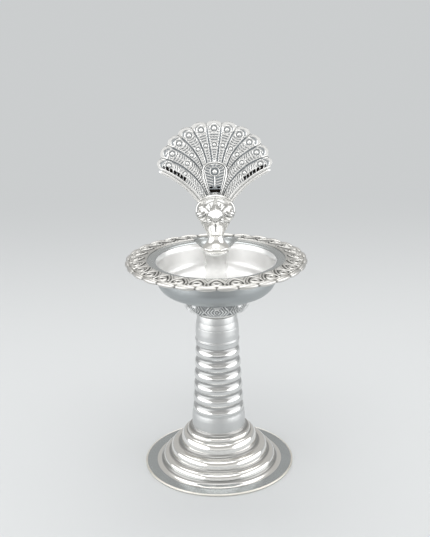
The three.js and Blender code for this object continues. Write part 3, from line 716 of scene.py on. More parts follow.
@dataclass
class Workbench:
    """Makes each finished piece once and keeps its finishes.

    Attributes:
        nodes: The fixed frame's nodes by name.
    """

    nodes: dict[str, bpy.types.Object]
    _finishes: dict[str, bpy.types.Material] = field(default_factory=dict)

    def finish(self, wanted: MetalFinish | FibreFinish) -> bpy.types.Material:
        """The finish's material, built the first time that it is asked for.

        Args:
            wanted: The finish.

        Returns:
            Its material.
        """
        if wanted.name not in self._finishes:
            self._finishes[wanted.name] = wanted.material()
        return self._finishes[wanted.name]

    def piece(
        self, name: str, surface: Surface, finish: MetalFinish, slot: Slot, body: Rides, *stands_for: str,
        zones: np.ndarray | None = None, zone_finishes: tuple[MetalFinish, ...] = (),
    ) -> bpy.types.Object:
        """Writes a surface into a mesh and gives it its finish, body and place in the frame.

        Args:
            name: The piece's name.
            surface: Its skin in millimetres.
            finish: Its finish.
            slot: The slot that the finish belongs to. Not used.
            body: The body that it rides on.
            *stands_for: The frame's nodes that it stands for.
            zones: The number of each face's finish, where 0 is the piece's own one.
            zone_finishes: The finishes from number 1 on.

        Returns:
            The new object.
        """
        mesh = bpy.data.meshes.new(name)
        faces = [row for rows in surface.faces for row in rows.tolist()]
        mesh.from_pydata((surface.points * MM).tolist(), [], faces)
        recess = mesh.attributes.new("recess", "FLOAT", "POINT")
        recess.data.foreach_set("value", surface.recess.astype(np.float32))
        for each in (finish, *zone_finishes):
            mesh.materials.append(self.finish(each))
        if zones is not None:
            mesh.polygons.foreach_set("material_index", zones.astype(np.int32))
        mesh.polygons.foreach_set("use_smooth", np.ones(len(mesh.polygons), bool))
        mesh.set_sharp_from_angle(angle=SHARP_EDGE)
        mesh.validate()
        made = bpy.data.objects.new(name, mesh)
        bpy.context.scene.collection.objects.link(made)
        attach(made, body.value)
        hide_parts(*stands_for)
        log.info("%s: %d corners, rides on %s", name, len(mesh.vertices), body.value)
        return made

    def dress(self, node: str, finish: MetalFinish | FibreFinish) -> None:
        """Gives a node that keeps its own mesh a finish.

        Args:
            node: The node's name.
            finish: Its finish.
        """
        materials = self.nodes[node].data.materials
        materials.clear()
        materials.append(self.finish(finish))
        log.info("%s: keeps its mesh, dressed as %s", node, finish.name)


# The stand


@dataclass(frozen=True)
class Step:
    """A step of the base.

    Attributes:
        side: Radius of its side.
        top: Height of its top.
        round_r: How far inwards its rounded side reaches.
        cove: Radius of the cove up to the next step.
    """

    side: float
    top: float
    round_r: float
    cove: float


@dataclass
class Base:
    """The spun base: a flange with a soldered edge wire and a dome of four rounded steps, open underneath."""

    flange_r: float = 32.0
    flange_thick: float = 0.8
    flange_lift: float = 0.02
    rest_inner_r: float = 25.7
    wire_r: float = 0.45
    wire_lap: float = 0.2
    wall: float = 0.7
    seat_r: float = 11.45
    hole_r: float = 2.3
    top_z: float = 17.7
    foot_cove: float = 1.7
    foot_reach: float = 2.7
    # The strongest painted shade in the coves, and the distances over which it fades.
    cove_shade_most: float = 0.85
    cove_shade_fade: tuple[float, float] = (0.7, 1.05)
    segments: int = 320
    steps: tuple[Step, ...] = (
        Step(24.3, 4.9, 1.7, 1.1),
        Step(20.85, 9.0, 1.7, 1.6),
        Step(16.2, 14.5, 1.9, 0.4),
        Step(13.6, 16.1, 0.7, 1.6),
    )

    @property
    def inner_sides(self) -> list[float]:
        """Radius of what stands on each step: the next step's side, and on the last the pillar's seat."""
        return [step.side for step in self.steps[1:]] + [self.seat_r]

    def outside(self) -> np.ndarray:
        """The upper line of the shell from the flange's edge to the rod's hole.

        Returns:
            (radius, height) rows: the flange, a cove up to the first step, then for each step a tall rounded
            side, a quarter of an ellipse, and a cove up to the next one.
        """
        rim = self.flange_r - 2 * self.wire_r + self.wire_lap
        cove_r, foot = self.steps[0].side + self.foot_reach, self.flange_thick + self.foot_cove
        lines = [
            np.array([[rim, self.flange_lift], [rim, self.flange_thick], [cove_r, self.flange_thick]]),
            arc(cove_r, foot, self.foot_reach, self.foot_cove, 268, 180, 24),
        ]
        for step, inner in zip(self.steps, self.inner_sides):
            lines.append(arc(step.side - step.round_r, foot, step.round_r, step.top - foot, 0, 90, 22))
            foot = step.top + step.cove
            lines.append(arc(inner + step.cove, foot, step.cove, step.cove, 270, 180, 16))
        lines.append(np.array([[self.seat_r, self.top_z], [self.hole_r, self.top_z]]))
        return np.concatenate(lines)

    def inside(self) -> np.ndarray:
        """The lower line of the shell from the rod's hole back to the flange.

        Returns:
            (radius, height) rows, one wall's thickness inside the steps.
        """
        corners = [[self.rest_inner_r, 0.0], [self.steps[0].side - self.wall, self.foot_cove]]
        for step, inner in zip(self.steps, self.inner_sides):
            under = step.top - self.wall
            corners += [[step.side - self.wall, step.top - step.round_r], [step.side - step.round_r, under]]
            corners.append([inner - self.wall, under])
        under = self.top_z - self.wall
        corners += [[self.seat_r - self.wall, under], [self.hole_r, under]]
        return rounded(np.array(corners), 0.8, 4)[::-1]

    def cove_shade(self, line: np.ndarray) -> np.ndarray:
        """How dark the coves between the steps are painted, as painted shade.

        Args:
            line: (radius, height) rows of the outside.

        Returns:
            The recess of each row, which fades with the distance from the corner that a cove fills.
        """
        low = 0.6 * self.foot_cove
        coves = [(self.steps[0].side, self.flange_thick + low, low)]
        coves += [(inner, step.top, step.cove) for step, inner in zip(self.steps, self.inner_sides)]
        near = [np.hypot(line[:, 0] - side, line[:, 1] - foot) / size for side, foot, size in coves]
        return self.cove_shade_most * (1 - eased(np.min(near, axis=0), *self.cove_shade_fade))

    def build(self, bench: Workbench) -> None:
        """Makes the shell and the edge wire.

        Args:
            bench: Where pieces are made.
        """
        outside = self.outside()
        line = np.concatenate([outside, self.inside()])
        dark = np.zeros((len(line), self.segments))
        # Painted shade in the coves between the steps.
        dark[: len(outside)] = self.cove_shade(outside)[:, None]
        # The flange's faces take the darker blue-grey silver: painted shade and painted reflection.
        flat_rows = np.zeros(len(line), int)
        flat_rows[1] = 1
        bench.piece(
            "base_dome", turned(line, self.segments, dark), POLISHED_TURNED, Slot.POLISHED, Rides.STAND,
            "base_shell", zones=np.repeat(flat_rows, self.segments), zone_finishes=(SATIN_FLANGE_SHADED,),
        )
        a = np.linspace(0, TAU, 20, endpoint=False)
        centre = self.flange_r - self.wire_r
        section = np.stack([centre + self.wire_r * np.cos(a), self.wire_r * (1 + np.sin(a))], -1)
        wire = turned(section, self.segments)
        bench.piece("base_edge_roll", wire, SOFT_WIRE, Slot.POLISHED, Rides.STAND, "base_edge_wire")


@dataclass
class Pillar:
    """The tapered tube with six rounded ribs, a thin ridge, a plain neck band and a bright collar ring."""

    foot_z: float = 17.7
    height: float = 52.0
    foot_r: float = 11.3
    bore_foot_r: float = 9.6
    bore_top_r: float = 7.1
    ribs: int = 6
    pitch: float = 5.2
    first_rib_up: float = 7.9
    first_r: float = 11.0
    last_r: float = 9.4
    ridge_down: float = 12.65
    groove: float = 0.8
    groove_power: float = 1.7
    groove_dark: float = 0.75
    rows_each: int = 22
    collar_height: float = 1.3
    segments: int = 240

    @property
    def top_z(self) -> float:
        """Height of the pillar's top."""
        return self.foot_z + self.height

    def ribbed(self) -> tuple[np.ndarray, np.ndarray]:
        """The ribbed stretch, from the first rib's crest to the groove over the last rib.

        Returns:
            (radius, height) rows: a straight taper less the groove's depth times a raised cosine, to the
            power 1.7, of the height in pitches, which makes wide round ribs and narrow grooves. Then the
            recess of each row, which darkens the grooves.
        """
        start = self.foot_z + self.first_rib_up - self.pitch / 2
        count = np.linspace(0.5, self.ribs, self.ribs * self.rows_each + 1)
        taper = self.first_r + (self.last_r - self.first_r) * (count - 0.5) / (self.ribs - 1)
        wave = (0.5 + 0.5 * np.cos(TAU * count)) ** self.groove_power
        line = np.stack([taper - self.groove * wave, start + count * self.pitch], -1)
        return line, self.groove_dark * eased(wave, 0.25, 0.75)

    def build(self, bench: Workbench) -> None:
        """Makes the tube and the collar ring.

        Args:
            bench: Where pieces are made.
        """
        top = self.top_z
        ribbed, grooves = self.ribbed()
        ridge_z = top - self.ridge_down
        crest_z, last_z = ribbed[0, 1], ribbed[-1, 1]
        lower = np.array([
            [self.foot_r, self.foot_z], [self.foot_r + 0.04, self.foot_z + 1], [self.foot_r, crest_z - 3.5],
            [self.foot_r - 0.2, crest_z - 2.2], [self.first_r - 0.12, crest_z - 1.3],
            [self.first_r - 0.08, crest_z - 0.6],
        ])
        upper = np.array([
            [8.95, last_z + 0.45], [9.1, last_z + 0.8], [9.12, ridge_z - 0.6], [9.3, ridge_z - 0.12],
            [9.3, ridge_z + 0.12], [9.0, ridge_z + 0.5], [9.02, ridge_z + 1.2], [9.1, ridge_z + 3.0],
            [8.97, ridge_z + 5.5], [8.88, ridge_z + 5.65], [8.86, ridge_z + 5.8], [8.92, ridge_z + 5.95],
            [8.75, ridge_z + 7.2], [8.55, ridge_z + 8.2], [8.44, ridge_z + 8.3], [8.45, ridge_z + 8.5],
            [8.22, top - 1.5], [7.7, top - 1.45], [7.7, top],
        ])
        lower, upper = rounded(lower, 0.3, 3), rounded(upper, 0.25, 3)
        inside = np.array([[self.bore_top_r, top], [self.bore_foot_r, self.foot_z]])
        line = np.concatenate([lower, ribbed, upper, inside])
        dark = np.zeros((len(line), self.segments))
        dark[len(lower) : len(lower) + len(ribbed)] = grooves[:, None]
        # The plain bands take the darker silver, painted shade.
        plain = np.repeat([1, 0, 1], [len(lower), len(ribbed), len(upper) + len(inside)])
        bench.piece(
            "pillar_ribbed", turned(line, self.segments, dark), BRUSHED_PILLAR, Slot.POLISHED, Rides.STAND,
            "pillar_tube", zones=np.repeat(plain, self.segments), zone_finishes=(SATIN_BAND_SHADED,),
        )
        low = top - self.collar_height
        section = np.concatenate([arc(7.95, low + 0.65, 0.35, 0.62, -90, 90, 12), [[7.8, top], [7.8, low]]])
        ring = turned(section, self.segments)
        bench.piece("pillar_collar", ring, POLISHED_TURNED, Slot.POLISHED, Rides.STAND, "pillar_top_ring")


@dataclass
class Calyx:
    """The bulging cast ring under the bowl with eight six-sided lotus petals in raised outlines."""

    foot_z: float = 69.7
    foot_r: float = 8.8
    widest_r: float = 13.2
    widest_up: float = 3.2
    height: float = 7.6
    top_r: float = 11.4
    hole_r: float = 2.3
    petals: int = 8
    petal_half: tuple[float, float] = (3.8, 2.35)
    petal_lines: tuple[float, ...] = (0.34, 0.67, 1.0, 1.33)
    line_high: float = 0.42
    line_half: float = 0.1
    seed_high: float = 0.4
    seed_half: float = 0.13
    sunk: float = 0.12
    rows_under: int = 26
    rows_over: int = 16
    segments: int = 512

    def outline(self) -> np.ndarray:
        """The ring's outside from its foot to its top, two quarters of ellipses that meet at its widest.

        Returns:
            (radius, height) rows.
        """
        widest_z = self.foot_z + self.widest_up
        out, up = self.widest_r - self.foot_r, self.height - self.widest_up
        under = arc(self.foot_r, widest_z, out, self.widest_up, -90, 0, self.rows_under)
        over = arc(self.top_r, widest_z, self.widest_r - self.top_r, up, 0, 90, self.rows_over)[1:]
        return np.concatenate([under, over])

    def relief(self, line: np.ndarray, a: np.ndarray) -> tuple[np.ndarray, np.ndarray]:
        """The petals as raised lines.

        Each petal is measured by d, the larger of |h| / half height and
        |u| / half width + |h| / (2 half height), where u runs round the ring and h up its outline from the
        petal's middle. Raised lines lie at the values of d in petal_lines, so that they are nested six-sided
        outlines, and chevrons between two petals. A seed lies in the middle.

        Args:
            line: (radius, height) rows of the outline.
            a: Angles round the ring.

        Returns:
            Height in millimetres and recess, rows of the outline by angles.
        """
        run = np.concatenate([[0], np.cumsum(np.linalg.norm(np.diff(line, axis=0), axis=1))])
        middle = run[self.rows_under] - 0.1
        step = TAU / self.petals
        local = (a + step / 2) % step - step / 2
        u = local[None, :] * self.widest_r
        h = (run - middle)[:, None]
        half_u, half_h = self.petal_half
        d = np.maximum(np.abs(h) / half_h, np.abs(u) / half_u + np.abs(h) / (2 * half_h))
        lines = [self.line_high * ridge(d - at, self.line_half) for at in self.petal_lines]
        raised = np.maximum.reduce([*lines, self.seed_high * ridge(d, self.seed_half)])
        in_band = eased(half_h * 1.12 - np.abs(h), 0, 0.3)
        raised = raised * in_band * eased(run, 0.1, 0.7)[:, None]
        return raised, (1 - eased(raised, 0.02, 0.3)) * in_band

    def build(self, bench: Workbench) -> None:
        """Makes the ring, whose outside is pushed square to its outline by the relief.

        Args:
            bench: Where pieces are made.
        """
        line = self.outline()
        a = np.linspace(0, TAU, self.segments, endpoint=False)
        raised, deep = self.relief(line, a)
        tangent = np.gradient(line, axis=0)
        tangent /= np.linalg.norm(tangent, axis=1, keepdims=True)
        push = raised - self.sunk
        radius = line[:, :1] + push * tangent[:, 1:]
        height = line[:, 1:] - push * tangent[:, :1]
        hole = np.array([[self.hole_r, self.foot_z + self.height], [self.hole_r, self.foot_z]])
        radius = np.concatenate([radius, np.broadcast_to(hole[:, :1], (2, self.segments))])
        height = np.concatenate([height, np.broadcast_to(hole[:, 1:], (2, self.segments))])
        deep = np.concatenate([deep, np.zeros((2, self.segments))])
        ring = hooped(about_axis(radius, a, height), deep, closed=True)
        bench.piece("lotus_ring", ring, CAST_CALYX, Slot.CAST, Rides.STAND, "lotus_calyx")


# The bowl


@dataclass
class Bowl:
    """The oil bowl with its wide flange and the wick rest pressed into the back of the flange."""

    bottom_z: float = 77.3
    wall: float = 0.7
    depth: float = 13.7
    flat_r: float = 17.1
    wall_r: float = 24.7
    lip_r: float = 25.1
    corner_height: float = 6.8
    seat_r: float = 28.2
    droop: float = 1.2
    bead_r: float = 36.2
    edge_r: float = 35.04
    hole_r: float = 2.3
    scoop_half: tuple[float, float, float] = (9.5, 8.0, 4.4)
    scoop_y: float = 28.0
    scoop_soft: float = 0.45
    scoop_slope: float = 12
    wall_rows: int = 8
    corner_rows: int = 22
    flange_rows: int = 22
    lip_rows: int = 5
    segments: int = 288

    @property
    def flange_z(self) -> float:
        """Height of the flange's flat top."""
        return self.bottom_z + self.wall + self.depth

    def flange_at(self, radius: np.ndarray) -> np.ndarray:
        """Height of the flange's top, which droops evenly outside the seat radius."""
        share = np.maximum(0, radius - self.seat_r) / (self.bead_r - self.seat_r)
        return self.flange_z - self.droop * share

    def scooped(self, x: np.ndarray, y: np.ndarray, z: np.ndarray, grow: float) -> np.ndarray:
        """Lowers a height to the wick rest's half ellipsoid where that is lower, with a soft meeting line.

        Args:
            x: Across.
            y: Towards the back.
            z: Height before.
            grow: How much larger than the inner ellipsoid this face's one is.

        Returns:
            The new height, a smooth least value of z and the ellipsoid.
        """
        half = [size + grow for size in self.scoop_half]
        inside = 1 - (x / half[0]) ** 2 - ((y - self.scoop_y) / half[1]) ** 2
        floor = self.flange_z - half[2] * np.sqrt(np.clip(inside, 0, None))
        floor = floor + self.scoop_slope * np.clip(-inside, 0, None)
        soft = self.scoop_soft
        blend = np.clip(0.5 + 0.5 * (z - floor) / soft, 0, 1)
        return z * (1 - blend) + floor * blend - soft * blend * (1 - blend)

    def outside(self) -> np.ndarray:
        """The line of the outside from the rod's hole to the flange: a round corner, the wall and the lip.

        Returns:
            (radius, height) rows.
        """
        top, corner_top = self.flange_z, self.bottom_z + self.corner_height
        lip = np.array([
            [self.wall_r + 0.1, top - 2.0], [self.lip_r + 0.2, top - self.wall - 0.3],
            [self.lip_r + 1.6, top - self.wall],
        ])
        heights = np.linspace(corner_top + 0.8, top - 2.4, self.wall_rows)
        across = self.wall_r - self.flat_r
        return np.concatenate([
            [[self.hole_r, self.bottom_z]],
            arc(self.flat_r, corner_top, across, self.corner_height, -90, 0, self.corner_rows),
            np.stack([np.full(self.wall_rows, self.wall_r), heights], -1),
            rounded(lip, 0.9, self.lip_rows),
        ])

    def inside(self) -> np.ndarray:
        """The line of the inside from the flange to the rod's hole: the lip, the wall and a round corner.

        Returns:
            (radius, height) rows.
        """
        top, corner_top = self.flange_z, self.bottom_z + self.corner_height
        lip = np.array([
            [self.lip_r + 1.4, top], [self.lip_r - 0.2, top - 0.25], [self.lip_r - 0.7, top - 1.6],
        ])
        heights = np.linspace(top - 2.4, corner_top + 0.8, self.wall_rows)
        across, up = self.wall_r - self.flat_r - self.wall, self.corner_height - self.wall
        return np.concatenate([
            rounded(lip, 0.9, self.lip_rows),
            np.stack([np.full(self.wall_rows, self.wall_r - self.wall), heights], -1),
            arc(self.flat_r, corner_top, across, up, 0, -90, self.corner_rows),
            [[self.hole_r, self.bottom_z + self.wall]],
        ])

    def build(self, bench: Workbench) -> None:
        """Makes the bowl, in one finish outside, one on its flange and one inside.

        Args:
            bench: Where pieces are made.
        """
        outer, inner = self.outside(), self.inside()
        rim = np.linspace(self.lip_r + 2.0, self.edge_r, self.flange_rows)
        under = np.stack([rim, self.flange_at(rim) - self.wall], -1)
        over = np.stack([rim[::-1], self.flange_at(rim[::-1])], -1)
        line = np.concatenate([outer, under, over, inner])
        split = len(outer) + len(under)
        a = np.linspace(0, TAU, self.segments, endpoint=False)
        x, y = line[:, :1] * np.sin(a), -line[:, :1] * np.cos(a)
        z = np.broadcast_to(line[:, 1:], x.shape)
        z = np.concatenate([
            self.scooped(x[:split], y[:split], z[:split], self.wall),
            self.scooped(x[split:], y[split:], z[split:], 0),
        ])
        # The outside and the flange take darker blue-grey silver than the inside: painted shade and painted
        # reflection.
        on_flange = len(over) + self.lip_rows
        rows = np.repeat([0, 1, 2], [split, on_flange, len(line) - split - on_flange])
        bench.piece(
            "oil_bowl", hooped(np.stack([x, y, z], -1), closed=True), SATIN_BOWL_SHADED, Slot.SATIN, Rides.STAND,
            "bowl_shell", zones=np.repeat(rows, self.segments), zone_finishes=(SATIN_RIM_SHADED, POLISHED_BOWL),
        )


@dataclass
class Border:
    """The cast strip of almond eyes round the flange, open at the wick rest, and the wire of long beads."""

    bowl: Bowl
    motifs: int = 28
    left_out: int = 3
    inner_r: float = 28.3
    thick: float = 0.75
    thin_share: float = 0.25
    lift: float = 0.08
    lap: float = 0.3
    petal_start: float = 1.7
    petal_long: float = 4.6
    petal_power: float = 1.5
    bead_tube: tuple[float, float] = (0.6, 1.06)
    bead_joint: float = 0.12
    bead_power: float = 0.6
    bead_down: float = 0.7
    bead_columns: int = 22
    bead_sides: int = 14
    rows: int = 40
    columns_each: int = 34

    @property
    def outer_r(self) -> float:
        """Radius of the strip's outer edge, which laps over the flange's."""
        return self.bowl.edge_r + self.lap

    def relief(self, radius: np.ndarray, local: np.ndarray) -> tuple[np.ndarray, np.ndarray]:
        """Height of the ornament above the strip, and how dark its grooves are.

        With u the distance across a motif and w the one inwards from the border's edge, each motif is a petal
        that is measured by d = (|u / half pitch|^1.5 + ((w - 1.7) / 4.6, not below 0)^1.5)^(1/1.5), so that
        its sides run straight out at the edge. Its raised outline lies at a d of 0.84 and a raised arch at
        0.46, dark lines at 0.67 and 1.0, and a fainter one at 1.3. In it lies a pit with a raised ring, and a
        dark line round that. Between two petals lies a round pit with a collar, and a hem runs along the
        edge.

        Args:
            radius: Radius of each corner.
            local: Angle from the nearest motif's middle.

        Returns:
            Height in millimetres, below 0 in the pits, and the recess.
        """
        pitch = TAU / self.motifs
        u = local * radius
        w = self.outer_r - radius
        half = pitch * radius / 2
        power = self.petal_power
        inwards = np.clip((w - self.petal_start) / self.petal_long, 0, None)
        d = (np.abs(u / half) ** power + inwards**power) ** (1 / power)
        outline = 0.5 * ridge(d - 0.84, 0.15)
        arch = 0.45 * ridge(d - 0.46, 0.14) * eased(w, 1.2, 1.8)
        ring_d = np.hypot(u / 1.5, (w - 2.0) / 1.1)
        ring = 0.55 * ridge(ring_d - 1.0, 0.42)
        pit = thin(ring_d, 0.5, 0.72)
        knot_d = np.hypot((half - np.abs(u)) / 0.62, (w - 1.05) / 0.62)
        knot = thin(knot_d, 0.75, 1.1)
        collar = 0.4 * ridge(knot_d - 1.6, 0.5) * eased(2.4 - w, 0, 0.4)
        hem = np.broadcast_to(0.35 * ridge(w - 0.35, 0.4), d.shape)
        high = np.maximum.reduce([outline, arch, ring, collar, hem])
        rise = high * (1 - pit) * (1 - knot) - 0.35 * pit - 0.25 * knot
        lines = np.maximum.reduce([
            thin(d - 0.67, 0.03, 0.1), thin(d - 1.0, 0.03, 0.09), 0.9 * thin(ring_d - 1.6, 0.1, 0.26),
            0.7 * thin(d - 1.3, 0.02, 0.08),
        ])
        lines = lines * eased(w, 0.6, 1.0)
        # The pits are painted near black as shade.
        return rise - 0.1 * lines, np.maximum.reduce([lines, 2.0 * pit, 1.6 * knot])

    def strip(self) -> Surface:
        """The cast strip as a worked face over a plain one.

        Returns:
            The closed surface.
        """
        step = TAU / self.motifs
        count = self.motifs - self.left_out
        start = (self.left_out / 2) * step
        turn = np.linspace(start, start + count * step, count * self.columns_each + 1)
        local = (turn + step / 2) % step - step / 2
        radius = np.linspace(self.inner_r, self.outer_r, self.rows)[:, None]
        rise, dark = self.relief(radius, local[None, :])
        end = np.minimum(turn - turn[0], turn[-1] - turn)[None, :] * radius
        shoulder = eased(radius - self.inner_r, 0, 0.5) * eased(end, 0.0, 0.5)
        rise = rise * shoulder
        base = self.bowl.flange_at(radius) + self.lift
        top = base + self.thick * (self.thin_share + (1 - self.thin_share) * shoulder) + rise
        x, y = -radius * np.sin(turn), radius * np.cos(turn)
        front = np.stack(np.broadcast_arrays(x, y, top), -1)
        back = np.stack(np.broadcast_arrays(x, y, base), -1)
        return plated(front, back, dark * eased(shoulder, 0.4, 1))

    def beads(self) -> Surface:
        """The beaded wire: a ring whose tube swells as the power 0.6 of |sin| of half the place in pitches.

        Returns:
            The closed surface, dark in the joints between the beads.
        """
        turn = np.linspace(0, TAU, self.motifs * self.bead_columns, endpoint=False)
        least, most = self.bead_tube
        wave = np.abs(np.sin(turn * self.motifs / 2))
        tube = least - self.bead_joint + (most - least + self.bead_joint) * wave**self.bead_power
        z = np.full_like(turn, self.bowl.flange_z - self.bead_down)
        path = np.stack([-self.bowl.bead_r * np.sin(turn), self.bowl.bead_r * np.cos(turn), z], -1)
        made = piped(path, tube, self.bead_sides, (0, 0, 1), closed=True)
        joints = np.repeat(0.9 * thin(wave, 0.06, 0.2), self.bead_sides)
        return Surface(made.points, made.faces, joints)

    def build(self, bench: Workbench) -> None:
        """Makes the strip and the beaded wire.

        Args:
            bench: Where pieces are made.
        """
        bench.piece("border_eyes", self.strip(), CAST_BORDER, Slot.CAST, Rides.STAND, "rim_ornament")
        bench.piece("border_beads", self.beads(), CAST_BORDER, Slot.POLISHED, Rides.STAND, "rim_beaded_wire")


@dataclass
class Post:
    """The turned socket post in the bowl and the pin that it holds."""

    bottom_z: float = 78.6
    height: float = 16.6
    foot_r: float = 4.6
    waist_r: float = 4.3
    rim_r: float = 5.3
    bore_r: float = 1.7
    socket_depth: float = 8.7
    pin_r: float = 1.6
    pin_up: float = 5.2
    segments: int = 96

    def build(self, bench: Workbench) -> None:
        """Makes the post and the pin.

        Args:
            bench: Where pieces are made.
        """
        low, top = self.bottom_z, self.bottom_z + self.height
        floor = top - self.socket_depth
        outside = rounded(np.array([
            [self.foot_r, low], [self.foot_r + 0.25, low + 0.3], [self.foot_r + 0.25, low + 0.7],
            [self.waist_r + 0.05, low + 1.5], [self.waist_r, low + 2.4], [self.waist_r + 0.5, top - 6],
            [self.rim_r - 0.12, top - 0.9], [self.rim_r, top - 0.45], [self.rim_r, top - 0.15],
            [self.rim_r - 0.15, top],
        ]), 0.5, 4)
        bore = [
            [self.bore_r + 0.15, top], [self.bore_r, top - 0.15], [self.bore_r, floor], [0.4, floor],
            [0, floor],
        ]
        post = turned(np.concatenate([[[0, low + 0.01], [0.5, low]], outside, bore]), self.segments)
        bench.piece("post", post, SATIN_POST, Slot.POLISHED, Rides.STAND, "socket_post")
        pin_top = top + self.pin_up
        pin = np.array([
            [0, floor], [self.pin_r - 0.25, floor], [self.pin_r, floor + 0.25],
            [self.pin_r, pin_top - 0.35], [self.pin_r - 0.35, pin_top], [0, pin_top],
        ])
        bench.piece("pin", turned(pin, self.segments // 2), TURNED_STEEL, Slot.STEEL, Rides.PIN, "finial_pin")


@dataclass
class Fastening:
    """The tie rod, its nut and its washer under the base's crown, and the inner discs."""

    rod_r: float = 2.0
    hole_r: float = 2.3
    nut_flats: float = 7.0
    nut_low: float = 12.8
    nut_top: float = 16.0
    washer_r: float = 6.0
    washer_thick: float = 1.0
    rod_low: float = 12.0
    rod_top: float = 84.3
    thread_pitch: float = 0.7
    thread_deep: float = 0.36
    thread_ends: tuple[float, float] = (8.6, 9.0)
    rod_rows: int = 900
    chamfer: float = 0.1
    chamfer_slope: float = 1.7

    def rod(self) -> Surface:
        """The rod with a thread at both ends.

        Returns:
            The surface. Its radius is less by the thread's depth times a triangle wave of
            height / pitch - turn, within 9 mm of either end.
        """
        z = np.linspace(self.rod_low, self.rod_top, self.rod_rows)[:, None]
        a = np.linspace(0, TAU, 40, endpoint=False)[None, :]
        wave = np.abs(((z / self.thread_pitch - a / TAU) % 1) - 0.5) * 2
        from_end = np.minimum(z - self.rod_low, self.rod_top - z)
        near = 1 - eased(from_end, *self.thread_ends)
        full = eased(from_end, -0.3, 0.5)
        radius = (self.rod_r - self.thread_deep * wave * near) * (0.8 + 0.2 * full)
        return hooped(about_axis(radius, a, z), 0.6 * wave * near)

    def nut(self) -> Surface:
        """The hexagon nut.

        Returns:
            The surface. Its radius is the half width over flats divided by the cosine of the angle from the
            nearest flat's middle, and a cone cuts the corners at both ends.
        """
        levels = np.array([0, 0.15, 0.35, 0.6, 2.6, 2.85, 3.05, 3.2]) / 3.2
        z = self.nut_low + (self.nut_top - self.nut_low) * levels
        a = np.linspace(0, TAU, 120, endpoint=False)
        sixth = TAU / 6
        hexagon = self.nut_flats / 2 / np.cos((a + sixth / 2) % sixth - sixth / 2)
        from_end = np.minimum(z - self.nut_low, self.nut_top - z)[:, None]
        cone = self.nut_flats / 2 - self.chamfer + self.chamfer_slope * from_end
        radius = np.minimum(hexagon[None, :], cone)
        bore = np.full((2, len(a)), self.hole_r)
        radius = np.concatenate([radius, bore])
        height = np.concatenate([z, [self.nut_top, self.nut_low]])[:, None]
        return hooped(about_axis(radius, a, height), closed=True)

    def build(self, bench: Workbench) -> None:
        """Makes the rod, the nut and the washer, and dresses the discs and the seal.

        Args:
            bench: Where pieces are made.
        """
        bench.piece("rod_threaded", self.rod(), TURNED_STEEL, Slot.STEEL, Rides.STAND, "tie_rod")
        bench.piece("nut_hexagon", self.nut(), TURNED_STEEL, Slot.STEEL, Rides.STAND, "base_nut")
        low, high = self.nut_top, self.nut_top + self.washer_thick
        corners = np.array([
            [self.hole_r, low], [self.washer_r, low], [self.washer_r, high], [self.hole_r, high],
        ])
        washer = turned(rounded(corners, 0.2, 3, closed=True), 96)
        bench.piece("washer_flat", washer, TURNED_STEEL, Slot.STEEL, Rides.STAND, "base_washer")
        bench.dress("pillar_foot_disc", TURNED_STEEL)
        bench.dress("pillar_top_disc", TURNED_STEEL)
        bench.dress("sealing_washer", SEALING_FIBRE)


# The peacock


